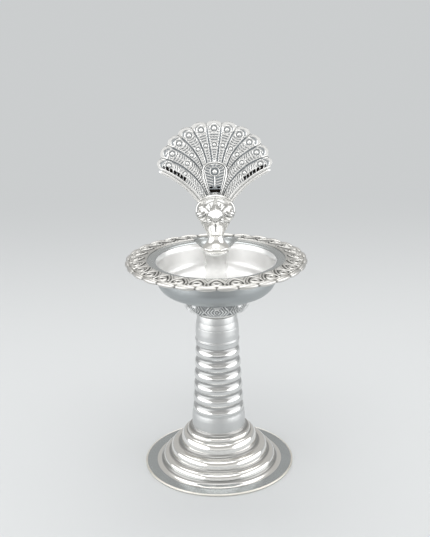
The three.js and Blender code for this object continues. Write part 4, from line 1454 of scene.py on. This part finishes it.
@dataclass
class Peacock:
    """The bird: its turned foot, the two stamped halves of its body, its neck and its wings."""

    foot_z: float = 95.2
    waist_z: float = 101.6
    flare_r: float = 5.65
    waist_r: float = 3.05
    bore_r: float = 1.7
    bore_depth: float = 5.3
    body_z: float = 112.4
    body_half: tuple[float, float, float] = (7.7, 6.2, 5.6)
    leg_top_r: float = 7.1
    leg_height: float = 8.0
    hood_half: float = 7.0
    hood_rise: float = 6.1
    hood_r: float = 1.05
    hood_y: float = -0.6
    hood_down: float = 0.7
    seam: float = 0.06
    leg_depth: float = 0.85
    join_power: int = 6
    collar_z: float = 110.2
    lobe: tuple[float, float] = (2.0, 107.0)
    lobe_half: tuple[float, float] = (1.25, 1.7)
    streaks_z: float = 110.8
    streak_each: float = 18
    wing_half: tuple[float, float, float] = (2.6, 2.6, 2.75)
    wing_at: tuple[float, float, float] = (5.15, -3.3, -0.9)
    wing_line: float = 0.52

    def foot(self) -> Surface:
        """The flared foot under the waist, turned, with the pin's bore.

        Returns:
            The closed surface.
        """
        low, top = self.foot_z, self.waist_z
        outside = rounded(np.array([
            [5.1, low + 0.02], [self.flare_r - 0.15, low + 0.35], [self.flare_r, low + 1.2],
            [self.flare_r - 0.1, low + 1.9],
            [self.flare_r - 1.0, low + 2.6], [self.waist_r + 0.7, low + 3.8], [self.waist_r + 0.1, low + 5.3],
            [self.waist_r, top], [self.waist_r - 0.4, top + 0.1],
        ]), 0.8, 5)
        bore_top = low + self.bore_depth
        line = np.concatenate([
            [[0, bore_top], [0.4, bore_top], [self.bore_r, bore_top], [self.bore_r, low + 0.2],
             [self.bore_r + 0.2, low + 0.02]],
            outside, [[0.4, top + 0.1], [0, top + 0.1]],
        ])
        return turned(line, 96)

    def outline(self, z: np.ndarray) -> tuple[np.ndarray, np.ndarray]:
        """Half width and half depth of the body at a height.

        The legs are a cone and the breast an ellipsoid; the larger of the two counts, smoothly joined.

        Args:
            z: Heights.

        Returns:
            Half width and half depth.
        """
        share = np.clip((z - self.waist_z) / self.leg_height, 0, 1)
        legs = self.waist_r + (self.leg_top_r - self.waist_r) * share**0.92
        legs_top = self.waist_z + self.leg_height
        legs = legs * (1 - eased(z, legs_top - 0.5, legs_top + 1.5))
        ball = np.sqrt(np.clip(1 - ((z - self.body_z) / self.body_half[2]) ** 2, 0, 1))
        width, depth = self.body_half[0] * ball, self.body_half[1] * ball
        power = self.join_power
        joined_width = (np.abs(width) ** power + np.abs(legs) ** power) ** (1 / power)
        joined_depth = (np.abs(depth) ** power + np.abs(self.leg_depth * legs) ** power) ** (1 / power)
        return joined_width, joined_depth

    def breast(self, far: np.ndarray, high: np.ndarray, front: np.ndarray) -> tuple[np.ndarray, np.ndarray]:
        """The chasing on the front of the body.

        Args:
            far: Distance from the middle plane.
            high: Heights.
            front: How much each place faces the front, from 0 to 1.

        Returns:
            How far the skin is pushed out, and its recess. There is a full lobe low on the breast, a collar
            line that falls to the side, feather lines that spread upwards from the head, a shallow groove
            under the hood that is darkened as painted shade, and a parting between the two lobes.
        """
        collar = np.exp(-(((high + 0.45 * far - self.collar_z) / 0.3) ** 2)) * eased(far, 0.8, 1.6) * front
        lobe_x, lobe_z = self.lobe
        half_x, half_z = self.lobe_half
        lobe = 0.6 * np.exp(-(((high - lobe_z) / half_z) ** 2 + ((far - lobe_x) / half_x) ** 2)) * front
        out = np.hypot(far, high - self.streaks_z)
        angle = np.degrees(np.arctan2(high - self.streaks_z, far))
        streak = (0.5 - 0.5 * np.cos(TAU * angle / self.streak_each)) ** 2
        streak = streak * eased(out, 2.4, 3.0) * (1 - eased(out, 4.8, 5.8)) * eased(angle, 30, 40) * front
        above = np.maximum(high - self.body_z + self.hood_down, 0)
        hood = np.hypot(far / self.hood_half, above / self.hood_rise)
        # Painted shade: a dark line just under the hood arch, where it meets the body.
        hood_shade = thin(hood - 0.82, 0.015, 0.05) * eased(high, 111.5, 112.5) * front
        parting = thin(far, 0.12, 0.3) * eased(high, 103.8, 104.6) * (1 - eased(high, 108.6, 109.2)) * front
        push = lobe - 0.35 * collar - 0.3 * streak - 0.25 * hood_shade - 0.2 * parting
        return push, np.maximum.reduce([0.9 * streak, 0.9 * collar, 0.8 * hood_shade, 0.8 * parting])

    def hood(self, side: int) -> list[Surface]:
        """One half of the arch over the head, and of a thin wire inside it.

        Args:
            side: -1 for the left half, 1 for the right.

        Returns:
            The two closed tubes.
        """
        angle = math.pi * np.linspace(0.5, 1.08 if side < 0 else -0.08, 30)
        across = self.hood_half * np.cos(angle) + side * self.seam
        up = self.body_z - self.hood_down + self.hood_rise * np.sin(angle)
        arch = np.stack([across, np.full_like(angle, self.hood_y), up], -1)
        tube = np.full(len(angle), self.hood_r)
        wire = arch * np.array([0.8, 1, 1]) + np.array([0, -1.1, -0.9])
        return [piped(arch, tube, 16, (0, 1, 0)), piped(wire, tube * 0.36, 10, (0, 1, 0))]

    def half(self, side: int) -> Surface:
        """One stamped half of the body with its half of the hood arch.

        Args:
            side: -1 for the left half, 1 for the right.

        Returns:
            The closed surfaces. A hoop runs from the front seam round the side to the back seam and straight
            back along the seam.
        """
        share = np.linspace(0, 1, 90)
        rise = self.body_z + self.body_half[2] - self.waist_z
        z = self.waist_z + rise * np.sin(share * math.pi / 2) ** 1.15
        width, depth = (size[:, None] for size in self.outline(z))
        a = np.linspace(0, math.pi, 61)[None, :]
        x = side * (self.seam + width * np.sin(a))
        y = -depth * np.cos(a)
        push, dark = self.breast(np.abs(x), z[:, None], np.clip(np.cos(a), 0, 1))
        wide, deep = np.maximum(width, 0.5), np.maximum(depth, 0.5)
        norm = np.hypot(np.sin(a) / wide, np.cos(a) / deep)
        x = x + side * push * np.sin(a) / wide / norm
        y = y - push * np.cos(a) / deep / norm
        seam_y = np.linspace(1, -1, 7)[None, 1:-1] * depth
        seam_x = np.full_like(seam_y, side * self.seam * 0.5)
        across, along = np.concatenate([x, seam_x], 1), np.concatenate([y, seam_y], 1)
        recess = np.zeros(across.shape)
        recess[:, : a.shape[1]] = dark
        grid = np.stack([across, along, np.broadcast_to(z[:, None], across.shape)], -1)
        return gathered([hooped(grid, recess), *self.hood(side)])

    def neck(self) -> Surface:
        """The ridged neck and head down to the beak, a wedge with two flat cheeks.

        Returns:
            The surface. A ridge line runs from the crown forwards and down to the beak. Each hoop is a roof
            of that height with straight sides down to its own half width and a rounded bead on the ridge, and
            is closed behind by a nearly square bow. The edges and two lines on the beak are painted shade,
            partly near black.
        """
        stations = np.array([
            [117.6, -2.6, -1.4, 0.35], [117.0, -4.6, -3.5, 0.6], [115.8, -6.3, -5.2, 1.0],
            [114.2, -7.5, -6.1, 1.7], [113.0, -8.2, -6.3, 2.5], [111.7, -8.7, -6.4, 3.1],
            [110.7, -8.8, -6.6, 2.6], [109.6, -8.5, -6.7, 1.6], [108.7, -8.0, -6.7, 0.7],
            [108.2, -7.6, -6.6, 0.12],
        ])
        t = np.linspace(0, len(stations) - 1, 73)
        kernel = np.array([1, 2, 3, 2, 1]) / 9
        rows = (np.interp(t, np.arange(len(stations)), column) for column in stations.T)
        z, ridge_y, edge_y, half = (
            np.convolve(np.pad(row, 2, mode="edge"), kernel, mode="valid")[:, None] for row in rows
        )
        c = np.linspace(-1, 1, 41)[None, :]
        x = half * c
        roof = edge_y + (ridge_y - edge_y) * (1 - np.abs(c))
        bead = 0.34 * ridge(x, 0.3) * eased(half, 0.3, 0.8)
        b = np.linspace(0, 1, 14)[1:-1][None, :]
        back_y = edge_y + 1.4 * np.sin(math.pi * b) ** 0.25
        across = np.concatenate([x, half * (1 - 2 * b)], 1)
        along = np.concatenate([roof - bead, back_y], 1)
        # Painted shade: the wedge's edges against the body and two lines beside the beak's ridge.
        beak_shade = thin(np.abs(x) - 0.55, 0.1, 0.3) * (1 - eased(z, 109.2, 109.7))
        edge_shade = eased(np.abs(c), 0.9, 0.97) * eased(half, 0.5, 0.9)
        dark = np.zeros(across.shape)
        dark[:, : c.shape[1]] = np.maximum(1.3 * beak_shade, 1.2 * edge_shade)
        return hooped(np.stack([across, along, np.broadcast_to(z, across.shape)], -1), dark)

    def wing(self, side: int) -> Surface:
        """A small folded wing against the body's side, with slanting feather lines.

        Args:
            side: -1 for the left wing, 1 for the right.

        Returns:
            The closed surface, a flattened ball that is pressed in along lines that fall towards the outside.
        """
        out, ahead, up = self.wing_at
        centre = np.array([side * out, ahead, self.body_z + up])
        v = np.linspace(0.02, math.pi - 0.02, 60)[:, None]
        a = np.linspace(0, TAU, 72, endpoint=False)[None, :]
        ball = about_axis(np.sin(v), a, -np.cos(v))
        slant = ball[..., 2] + 0.55 * side * ball[..., 0]
        lines = 0.5 - 0.5 * np.cos(TAU * slant / self.wing_line)
        lines = lines * eased(ball[..., 2], -0.55, -0.3) * (1 - eased(ball[..., 2], 0.55, 0.8))
        grid = centre + ball * np.array(self.wing_half) * (1 - 0.035 * lines)[..., None]
        return hooped(grid, 0.8 * lines**2)

    def build(self, bench: Workbench) -> None:
        """Makes the foot, the halves, the neck and the wings.

        Args:
            bench: Where pieces are made.
        """
        silver, body = Slot.POLISHED, Rides.FINIAL
        bench.piece("finial_foot", self.foot(), POLISHED_TURNED, silver, body, "bird_foot")
        bench.piece("bird_left", self.half(-1), POLISHED_FORMED, silver, body, "bird_half_left")
        bench.piece("bird_right", self.half(1), POLISHED_FORMED, silver, body, "bird_half_right")
        bench.piece("bird_head", self.neck(), POLISHED_FORMED, silver, body, "bird_neck")
        bench.piece("bird_wing_left", self.wing(-1), POLISHED_FORMED, silver, body, "wing_left")
        bench.piece("bird_wing_right", self.wing(1), POLISHED_FORMED, silver, body, "wing_right")


@dataclass
class Tail:
    """The fan of eleven feathers, its rolled lower edges and the centre feather in front of it.

    Shapes are drawn in the fan's plane, x across and s up from the root, with d the depth behind that plane,
    and then stood up with the fan's lean.
    """

    root_y: float = 2.6
    root_z: float = 114.0
    lean: float = math.radians(4)
    thick: float = 0.9
    centre_s: float = 13.5
    half: tuple[float, float] = (23.3, 20.1)
    per_side: int = 5
    step: float = math.radians(16.3)
    valley: float = 0.95
    apex: float = 1.002
    tip: tuple[float, float] = (21.9, 14.5)
    tab_s: float = -3.0
    edge_r: float = 0.75
    solder_gap: float = 0.3
    edge_root: tuple[float, float] = (5.2, 0.7)
    edge_bow: tuple[float, float] = (11.0, 9.8)
    tab_share: float = 0.2
    eyes_on: tuple[float, float] = (18.5, 17.0)
    small_eyes_on: tuple[float, float] = (12, 10.5)
    barb_pitch: float = 1.02
    arc_pitch: float = 1.0
    arc_r: float = 15.06
    window_pitch: float = 1.5
    columns_each: int = 25
    rows: int = 170
    drop_low: tuple[tuple[float, float], ...] = ((2.3, 3.5), (5.1, 9.7), (5, 13.2))
    drop_high: tuple[tuple[float, float], ...] = ((5, 13.2), (5, 17.5), (0, 17.5))
    drop_middle: tuple[float, float] = (0, 11.0)
    drop_eye_s: float = 13.4

    def stood(self, x: np.ndarray, d: np.ndarray, s: np.ndarray) -> np.ndarray:
        """Stands points up: y = root + d cos + s sin and z = root + s cos - d sin of the lean."""
        c, n = math.cos(self.lean), math.sin(self.lean)
        y, z = self.root_y + d * c + s * n, self.root_z + s * c - d * n
        return np.stack(np.broadcast_arrays(x, y, z), -1)

    def courses(self, phi: np.ndarray) -> tuple[np.ndarray, np.ndarray, np.ndarray, np.ndarray, np.ndarray]:
        """Where each feather line starts and bends.

        Args:
            phi: Place across the fan, in feathers from the middle.

        Returns:
            x on the tab, root x, root s, bend x and bend s.
        """
        at = [0, 0.5, 1.5, 2.5, 3.5, 4.5, 5.5]
        size, sign = np.abs(phi), np.sign(phi)
        tab = sign * np.interp(size, at, [0, 0.2, 0.6, 1.0, 1.4, 2.6, 0.8 * self.edge_root[0]])
        root_x = sign * np.interp(size, at, [0, 1.1, 3.1, 5.0, 5.0, 2.8, self.edge_root[0]])
        root_s = np.interp(size, at, [18.0, 18.0, 16.8, 15.5, 12.6, 2.8, self.edge_root[1]])
        bend_x = sign * np.interp(size, at, [0, 2.1, 4.45, 7.35, 7.9, 8.3, self.edge_bow[0]])
        bend_s = np.interp(size, at, [25.5, 25.2, 24.0, 22.65, 19.05, 15.75, self.edge_bow[1]])
        return tab, root_x, root_s, bend_x, bend_s

    def ends(self, phi: np.ndarray) -> tuple[np.ndarray, np.ndarray]:
        """Where each feather line ends before the scallops, on the ellipse through the dips.

        Args:
            phi: Place across the fan.

        Returns:
            End x and end s.
        """
        a = phi * self.step
        x = self.valley * self.half[0] * np.sin(a)
        s = self.centre_s + self.valley * self.half[1] * np.cos(a)
        last = self.per_side + 0.5
        pull = eased(np.abs(phi), last - 0.9, last)
        end_a = last * self.step
        dx = self.tip[0] - self.valley * self.half[0] * math.sin(end_a)
        ds = self.tip[1] - self.centre_s - self.valley * self.half[1] * math.cos(end_a)
        return x + np.sign(phi) * dx * pull, s + ds * pull

    def field(self, phi: np.ndarray, v: np.ndarray) -> tuple[np.ndarray, np.ndarray, np.ndarray]:
        """The feather lines as a grid.

        A line first runs straight from the tab to its root and then in a bow past its bend to its end. Near
        its end it is stretched to the scallop, a bow in each feather.

        Args:
            phi: Place across the fan, one row.
            v: Place along the lines from 0 at the tab to 1 at the edge, one column.

        Returns:
            x, s and the length in millimetres still to go to the dips' ellipse.
        """
        tab, x0, s0, x1, s1 = self.courses(phi)
        x2, s2 = self.ends(phi)
        t = np.clip((v - self.tab_share) / (1 - self.tab_share), 0, 1)
        x, s = bowed(t, x0, x1, x2), bowed(t, s0, s1, s2)
        down = 1 - np.clip(v / self.tab_share, 0, 1)
        x = x * (1 - down) + tab * down
        s = s * (1 - down) + self.tab_s * down
        step = np.hypot(np.diff(x, axis=0, prepend=x[:1]), np.diff(s, axis=0, prepend=s[:1]))
        length = np.cumsum(step, axis=0)
        to_go = length[-1:] - length
        local = phi - np.round(phi)
        lobe = 1 - (2 * local) ** 2
        stretch = (self.apex / self.valley - 1) * lobe * eased(v, 0.72, 1.0)
        x = x * (1 + stretch)
        s = self.centre_s + (s - self.centre_s) * (1 + stretch)
        return x, s, to_go

    def relief(
        self, phi: np.ndarray, x: np.ndarray, s: np.ndarray, to_go: np.ndarray
    ) -> tuple[np.ndarray, np.ndarray]:
        """Height of the fan's relief, and how dark its grooves are.

        A thin parting between two ribs divides the feathers. The barbs are a cosine: over the length to go
        with a bow in the outer feathers, and over the distance from the fan's middle in the middle three,
        where they join into long arcs. Each outer feather has a shaft, and each feather two ringed beads,
        each with a ring of painted shade round it, and a double rim along its scallop. The lowest edges have
        a comb of windows painted near black as shade.

        Args:
            phi: Place across the fan.
            x: Across.
            s: Up.
            to_go: Length still to go to the dips' ellipse.

        Returns:
            Height above the plate and recess.
        """
        k = np.clip(np.round(phi), -self.per_side, self.per_side)
        local = phi - k
        width = np.hypot(np.gradient(x, axis=1), np.gradient(s, axis=1)) / np.gradient(phi, axis=1)
        from_rib = (0.5 - np.abs(local)) * width
        inner = 1 - eased(np.abs(phi), 1.36, 1.46)
        rib = 0.4 * ridge(from_rib - 0.52, 0.24) * (1 - 0.5 * inner)
        parting = 1 - eased(from_rib, 0.1, 0.3)

        a, up = k * self.step, s - self.centre_s
        big = np.hypot(x - self.eyes_on[0] * np.sin(a), up - self.eyes_on[1] * np.cos(a))
        lower = 0.02 * np.abs(k) ** 3
        small_x, small_s = self.small_eyes_on[0] * np.sin(a), self.small_eyes_on[1] * np.cos(a)
        small = np.hypot(x - small_x, up - small_s + lower)
        bead, collar = 0.85 * ridge(big, 0.9), 0.4 * ridge(big - 1.6, 0.32)
        dot, ring = 0.7 * ridge(small, 0.72), 0.35 * ridge(small - 1.25, 0.24)

        edge = to_go + 1.2 * (1 - (2 * local) ** 2)
        below_rim = eased(edge, 3.0, 3.3)
        in_rows = np.cos(TAU * (to_go + (2 * local) ** 2) / self.barb_pitch)
        in_arcs = np.cos(TAU * (np.hypot(x, up) - self.arc_r) / self.arc_pitch)
        wave = inner * in_arcs + (1 - inner) * in_rows
        clear = eased(big, 1.8, 2.0) * eased(small, 1.35, 1.55) * below_rim * eased(from_rib, 0.3, 0.5)
        barbs = 0.36 * eased(wave, -0.85, 0.1) * clear
        shaft = 0.36 * ridge(np.abs(local) * width, 0.2) * eased(big, 1.9, 2.2) * below_rim * (1 - inner)
        rim = 0.42 * ridge(edge - 0.28, 0.3)
        inner_rim = 0.3 * ridge(edge - 1.15, 0.25) * eased(big, 1.7, 1.9)
        lobe = 1 - eased(edge, 2.1, 2.5)
        flat = 0.24 * lobe * eased(big, 1.5, 1.7)

        out = np.abs(x)
        lowest = (np.abs(phi) > self.per_side) * eased(out, 11.2, 11.6) * (1 - eased(out, 20.2, 20.6))
        across = thin((to_go / self.window_pitch) % 1 - 0.5, 0.28, 0.36)
        window = across * thin(from_rib - 1.45, 0.55, 0.7) * lowest

        high = np.maximum.reduce([rib, bead, collar, dot, ring, barbs, shaft, rim, inner_rim, flat])
        groove = 1 - eased(high, 0.02, 0.18)
        # Painted shade: a ring round each bead, and the windows near black.
        bead_shade = np.maximum(thin(big - 1.15, 0.08, 0.22), thin(small - 0.92, 0.06, 0.18))
        dark = np.maximum.reduce([0.85 * groove, 0.42 * bead_shade * (high < 0.4), 1.15 * parting, 2.2 * window])
        dark = np.where(lobe * (big > 1.8) > 0.5, 0.4 * dark, dark)
        return high * (1 - window) * (1 - parting) - 0.45 * window - 0.15 * parting, dark

    def fan(self) -> Surface:
        """The fan plate with its relief in front and a shallow echo of it behind.

        Returns:
            The closed surface.
        """
        last = self.per_side + 0.5
        phi = np.linspace(-last, last, (2 * self.per_side + 1) * self.columns_each + 1)[None, :]
        v = np.linspace(0, 1, self.rows)[:, None]
        phi = np.broadcast_to(phi, (self.rows, phi.shape[1])).copy()
        x, s, to_go = self.field(phi, v)
        rise, dark = self.relief(phi, x, s, to_go)
        shown = eased(s, 0.5, 2.5)
        rise, deep = rise * shown, dark * shown
        half = self.thick / 2
        front = self.stood(x, -half - rise, s)
        back = self.stood(x, half - 0.07 * rise, s)
        return plated(front, back, deep)

    def edge(self, side: int) -> Surface:
        """The rolled wire along a lower edge of the fan, with a thin rib beside it.

        Args:
            side: -1 for the left edge, 1 for the right.

        Returns:
            The closed surfaces, each a tube along the edge's curve moved out by its own radius.
        """
        t = np.linspace(0, 1, 48)[:, None]
        root, bend, tip = (np.array(p) for p in (self.edge_root, self.edge_bow, self.tip))
        curve = bowed(t, root, bend, tip)
        along = np.gradient(curve, axis=0)
        along /= np.linalg.norm(along, axis=1, keepdims=True)
        normal = np.stack([along[:, 1], -along[:, 0]], -1)
        ends = np.sqrt(np.clip(1 - (2 * t[:, 0] - 1) ** 24, 0.05, 1))
        tubes = []
        wire, rib = (self.edge_r + self.solder_gap, self.edge_r, 0.0), (-0.3, 0.5, -0.55)
        for out, radius, depth in (wire, rib):
            line = curve + normal * out
            path = self.stood(side * line[:, 0], np.full(len(line), depth), line[:, 1])
            tubes.append(piped(path, radius * ends, 14, (0, 1, 0)))
        return gathered(tubes)

    def drop(self) -> np.ndarray:
        """The centre feather's outline, from the right end of its foot round its top and back along the foot.

        Returns:
            (x, s) rows: two bows on the right, the same two on the left, and a straight foot.
        """
        t = np.linspace(0, 1, 40)[:, None]
        low, high = (bowed(t, *(np.array(p) for p in bow)) for bow in (self.drop_low, self.drop_high))
        right = np.concatenate([low[:-1], high])
        left = right[-2::-1] * np.array([-1, 1])
        half, level = self.drop_low[0]
        across = np.linspace(-half, half, 14)[1:-1]
        return np.concatenate([right, left, np.stack([across, np.full_like(across, level)], -1)])

    def centre_feather(self) -> Surface:
        """The drop-shaped feather in front of the fan.

        Returns:
            The closed surface, a disc of hoops that shrink from the outline to the middle. Relief: two rims,
            a bead with a crescent, a stem, barbs on both sides of it and a deep window at the foot. A ring of
            painted shade lies round the bead, and the window and the slots are painted near black as shade.
        """
        outline, middle = self.drop(), np.array(self.drop_middle)
        share = np.linspace(1, 0.012, 52)[:, None, None]
        flat = middle + share * (outline - middle)
        x, s = flat[..., 0], flat[..., 1]
        out = np.abs(x)
        inset = (1 - share[..., 0]) * np.linalg.norm(outline - middle, axis=1)[None, :]
        rims = np.maximum(0.6 * ridge(inset - 0.36, 0.34), 0.45 * ridge(inset - 1.15, 0.28))
        eye = np.hypot(x, s - self.drop_eye_s)
        bead, crescent = 1.2 * ridge(eye, 1.05), 0.5 * ridge(eye - 1.85, 0.28)
        stem = 0.5 * ridge(x, 0.32) * (1 - eased(s, 11.6, 12.2)) * eased(s, 6.6, 7.0)
        clear = eased(inset, 1.45, 1.65) * eased(eye, 2.1, 2.35) * eased(s, 7.3, 7.6) * eased(out, 0.45, 0.6)
        barbs = 0.4 * eased(np.cos(TAU * (s - 0.3 * out) / 1.12), -0.4, 0.5) * clear
        inside = eased(inset, 1.3, 1.5)
        slots = thin(s - 6.9, 0.2, 0.35) * thin(out - 1.5, 0.5, 0.7)
        window = np.maximum(inside * (1 - eased(s, 5.9, 6.2)), slots * inside)
        rise = np.maximum.reduce([rims, bead, crescent, stem, barbs]) * (1 - window) - 0.55 * window
        # A ring of painted shade round the bead; the window and slots are painted near black as shade.
        bead_shade = thin(eye - 1.35, 0.12, 0.28)
        dark = np.maximum.reduce([1 - eased(rise, 0.02, 0.22), 1.1 * bead_shade, 2.2 * window])

        front = self.stood(x, -self.thick / 2 - 0.3 - 0.7 - rise, s)
        ends = [0, -1]
        back = self.stood(x[ends], np.full_like(x[ends], -self.thick / 2 - 0.1), s[ends])
        plain = np.zeros((len(ends), len(outline)))
        return hooped(np.concatenate([front[::-1], back]), np.concatenate([dark[::-1], plain]))

    def build(self, bench: Workbench) -> None:
        """Makes the fan, its edges and the centre feather.

        Args:
            bench: Where pieces are made.
        """
        cast, silver, body = Slot.CAST, Slot.POLISHED, Rides.FINIAL
        bench.piece("fan_feathers", self.fan(), CAST_RELIEF, cast, body, "tail_fan")
        bench.piece("fan_edge_left", self.edge(-1), BRIGHT_WIRE, silver, body, "tail_edge_left")
        bench.piece("fan_edge_right", self.edge(1), BRIGHT_WIRE, silver, body, "tail_edge_right")
        bench.piece("fan_centre", self.centre_feather(), CAST_RELIEF, cast, body, "tail_centre_feather")


# Studio and camera


@dataclass
class Studio:
    """A pale table, two wide soft lamps at the sides, two overhead and an even room.

    Attributes:
        table_colour: Colour of the table.
        table_rough: Its gloss.
        front_colour: Colour that it fades to in front of the picture, where only the silver mirrors it.
        front_fade: Where it fades, in metres behind the lamp's axis.
        far_glow: How brightly the far table shows, so that it looks as light as the part by the lamp.
        glow_fade: Where that glow comes in, in metres behind the lamp's axis.
        table_corners: The table's outline, in metres.
        table_gap: How far the table lies below the lamp's foot, in metres.
        room_low: The room at the horizon, beside and behind the lamp.
        room_front: The room at the horizon in front.
        front_share: Where the front fades into the sides, as the direction's share backwards.
        room_high: The room at middle heights.
        high_share: Where the horizon fades into the middle heights, as the direction's share upwards.
        room_top: The room overhead.
        top_share: Where the middle heights fade into the room overhead.
        light_room: How strongly the room lights dull surfaces.
        aim: What the lamps are turned to, in metres.
    """

    table_colour: tuple[float, float, float] = (0.66, 0.675, 0.68)
    table_rough: float = 0.8
    front_colour: tuple[float, float, float] = (0.2, 0.205, 0.21)
    front_fade: tuple[float, float] = (-0.2, -0.075)
    far_glow: tuple[float, float, float] = (0.6, 0.615, 0.62)
    glow_fade: tuple[float, float] = (0.06, 0.5)
    table_corners: tuple[tuple[float, float], ...] = (
        (-0.17, -0.35), (0.17, -0.35), (0.2, 0.0), (3.0, 10.0), (-3.0, 10.0), (-0.2, 0.0)
    )
    table_gap: float = 0.00005
    room_low: tuple[float, float, float] = (0.5, 0.51, 0.515)
    room_front: tuple[float, float, float] = (0.9, 0.9, 0.89)
    front_share: tuple[float, float] = (-0.8, -0.35)
    room_high: tuple[float, float, float] = (0.54, 0.535, 0.52)
    high_share: tuple[float, float] = (0.12, 0.35)
    room_top: tuple[float, float, float] = (0.95, 0.95, 0.94)
    top_share: tuple[float, float] = (0.6, 0.85)
    light_room: float = 0.66
    aim: tuple[float, float, float] = (0, 0, 0.06)

    def table(self) -> None:
        """Makes the table, narrow by the lamp so that the soft lamps reach below it, and wide far behind."""
        mesh = bpy.data.meshes.new("table")
        corners = [(x, y, -self.table_gap) for x, y in self.table_corners]
        mesh.from_pydata(corners, [], [list(range(len(corners)))])
        made = bpy.data.objects.new("table", mesh)
        bpy.context.scene.collection.objects.link(made)
        mesh.materials.append(self.table_material())

    def table_material(self) -> bpy.types.Material:
        """The table's material.

        Returns:
            A matt material, darker in front of the picture, which glows evenly far behind the lamp, as far as
            it is looked at or mirrored.
        """
        made = bpy.data.materials.new("pale table")
        wiring = Wiring.of(made)
        shader = wiring.nodes["Principled BSDF"]
        shader.inputs["Roughness"].default_value = self.table_rough
        away = wiring.split(wiring.place())["Y"]
        near = wiring.spread(away, self.front_fade, smooth=True)
        colour = wiring.blend(near, (*self.front_colour, 1), (*self.table_colour, 1))
        wiring.feed(shader.inputs["Base Color"], colour)
        glow = wiring.nodes.new("ShaderNodeEmission")
        glow.inputs["Color"].default_value = (*self.far_glow, 1)
        far = wiring.spread(away, self.glow_fade, smooth=True)
        share = wiring.sum("MULTIPLY", far, wiring.looked_at())
        wiring.show(share, shader.outputs["BSDF"], glow.outputs["Emission"], "Material Output")
        return made

    def lamp(
        self, name: str, turn: float, lift: float, distance: float, size: tuple[float, float], power: float
    ) -> None:
        """Hangs an oval soft lamp that faces the object.

        Args:
            name: Its name.
            turn: Degrees round from the front, more to the right.
            lift: Degrees up from the table.
            distance: Metres from the object.
            size: Width and height in metres.
            power: Watts.
        """
        data = bpy.data.lights.new(name, "AREA")
        data.shape = "ELLIPSE"
        data.size, data.size_y = size
        data.energy = power
        around, up = math.radians(turn), math.radians(lift)
        flat = math.cos(up)
        place = Vector((math.sin(around) * flat, -math.cos(around) * flat, math.sin(up))) * distance
        made = bpy.data.objects.new(name, data)
        made.location = place
        made.rotation_mode = "QUATERNION"
        made.rotation_quaternion = (Vector(self.aim) - place).to_track_quat("-Z", "Y")
        bpy.context.scene.collection.objects.link(made)

    def room(self) -> None:
        """Makes the room: as it is seen, pale in front and overhead and grey between; as a light, even."""
        world = bpy.data.worlds.new("studio room")
        bpy.context.scene.world = world
        wiring = Wiring.of(world)
        lit = wiring.nodes["Background"]
        lit.inputs["Color"].default_value = (1, 1, 1, 1)
        lit.inputs["Strength"].default_value = self.light_room
        seen = wiring.nodes.new("ShaderNodeBackground")
        towards = wiring.split(wiring.nodes.new("ShaderNodeTexCoord").outputs["Generated"])
        behind = wiring.spread(towards["Y"], self.front_share, smooth=True)
        tone = wiring.blend(behind, (*self.room_front, 1), (*self.room_low, 1))
        for share, colour in ((self.high_share, self.room_high), (self.top_share, self.room_top)):
            tone = wiring.blend(wiring.spread(towards["Z"], share, smooth=True), tone, (*colour, 1))
        wiring.feed(seen.inputs["Color"], tone)
        wiring.show(wiring.looked_at(), lit.outputs["Background"], seen.outputs["Background"], "World Output")

    def build(self) -> None:
        """Makes the table, the room and the lamps."""
        self.table()
        self.room()
        self.lamp("softbox left", -68, 12, 0.84, (1.4, 0.7), 4.0)
        self.lamp("softbox right", 76, 12, 0.84, (1.2, 0.7), 3.4)
        self.lamp("softbox above", 180, 68, 0.95, (1.1, 0.7), 2.4)
        self.lamp("softbox over the camera", 0, 64, 0.95, (1.0, 0.6), 1.9)
        bpy.context.scene.view_settings.view_transform = "Standard"


@dataclass
class Eye:
    """The camera, with the place and the turn that the photograph's perspective gives."""

    place_mm: tuple[float, float, float] = (-0.518, -372.76, 208.75)
    pitch: float = 0.3149
    roll: float = -0.0166
    focal_px: float = 954.9
    frame_height_px: float = 537.0
    sensor_mm: float = 36.0
    clip_m: tuple[float, float] = (0.01, 100)

    def build(self) -> None:
        """Makes the camera: it looks along (0, cos, -sin) of the pitch, turned about that by the roll."""
        right = Vector((1, 0, 0))
        up = Vector((0, math.sin(self.pitch), math.cos(self.pitch)))
        ahead = Vector((0, math.cos(self.pitch), -math.sin(self.pitch)))
        c, s = math.cos(self.roll), math.sin(self.roll)
        axes = (right * c + up * s, up * c - right * s, -ahead)
        data = bpy.data.cameras.new("camera")
        data.sensor_width = self.sensor_mm
        data.lens = self.sensor_mm * self.focal_px / self.frame_height_px
        data.clip_start, data.clip_end = self.clip_m
        made = bpy.data.objects.new("camera", data)
        turn = Matrix(axes).transposed().to_4x4()
        made.matrix_world = Matrix.Translation(Vector(self.place_mm) * MM) @ turn
        bpy.context.scene.collection.objects.link(made)
        bpy.context.scene.camera = made


def main() -> None:
    """Builds the camera, the studio and every piece in order."""
    logging.basicConfig(level=logging.INFO, format="%(name)s: %(message)s")
    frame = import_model()
    Eye().build()
    Studio().build()
    bench = Workbench(frame["nodes"])
    bowl = Bowl()
    for part in (Base(), Pillar(), Calyx(), bowl, Border(bowl), Post(), Fastening(), Peacock(), Tail()):
        part.build(bench)


if __name__ == "__main__":
    main()
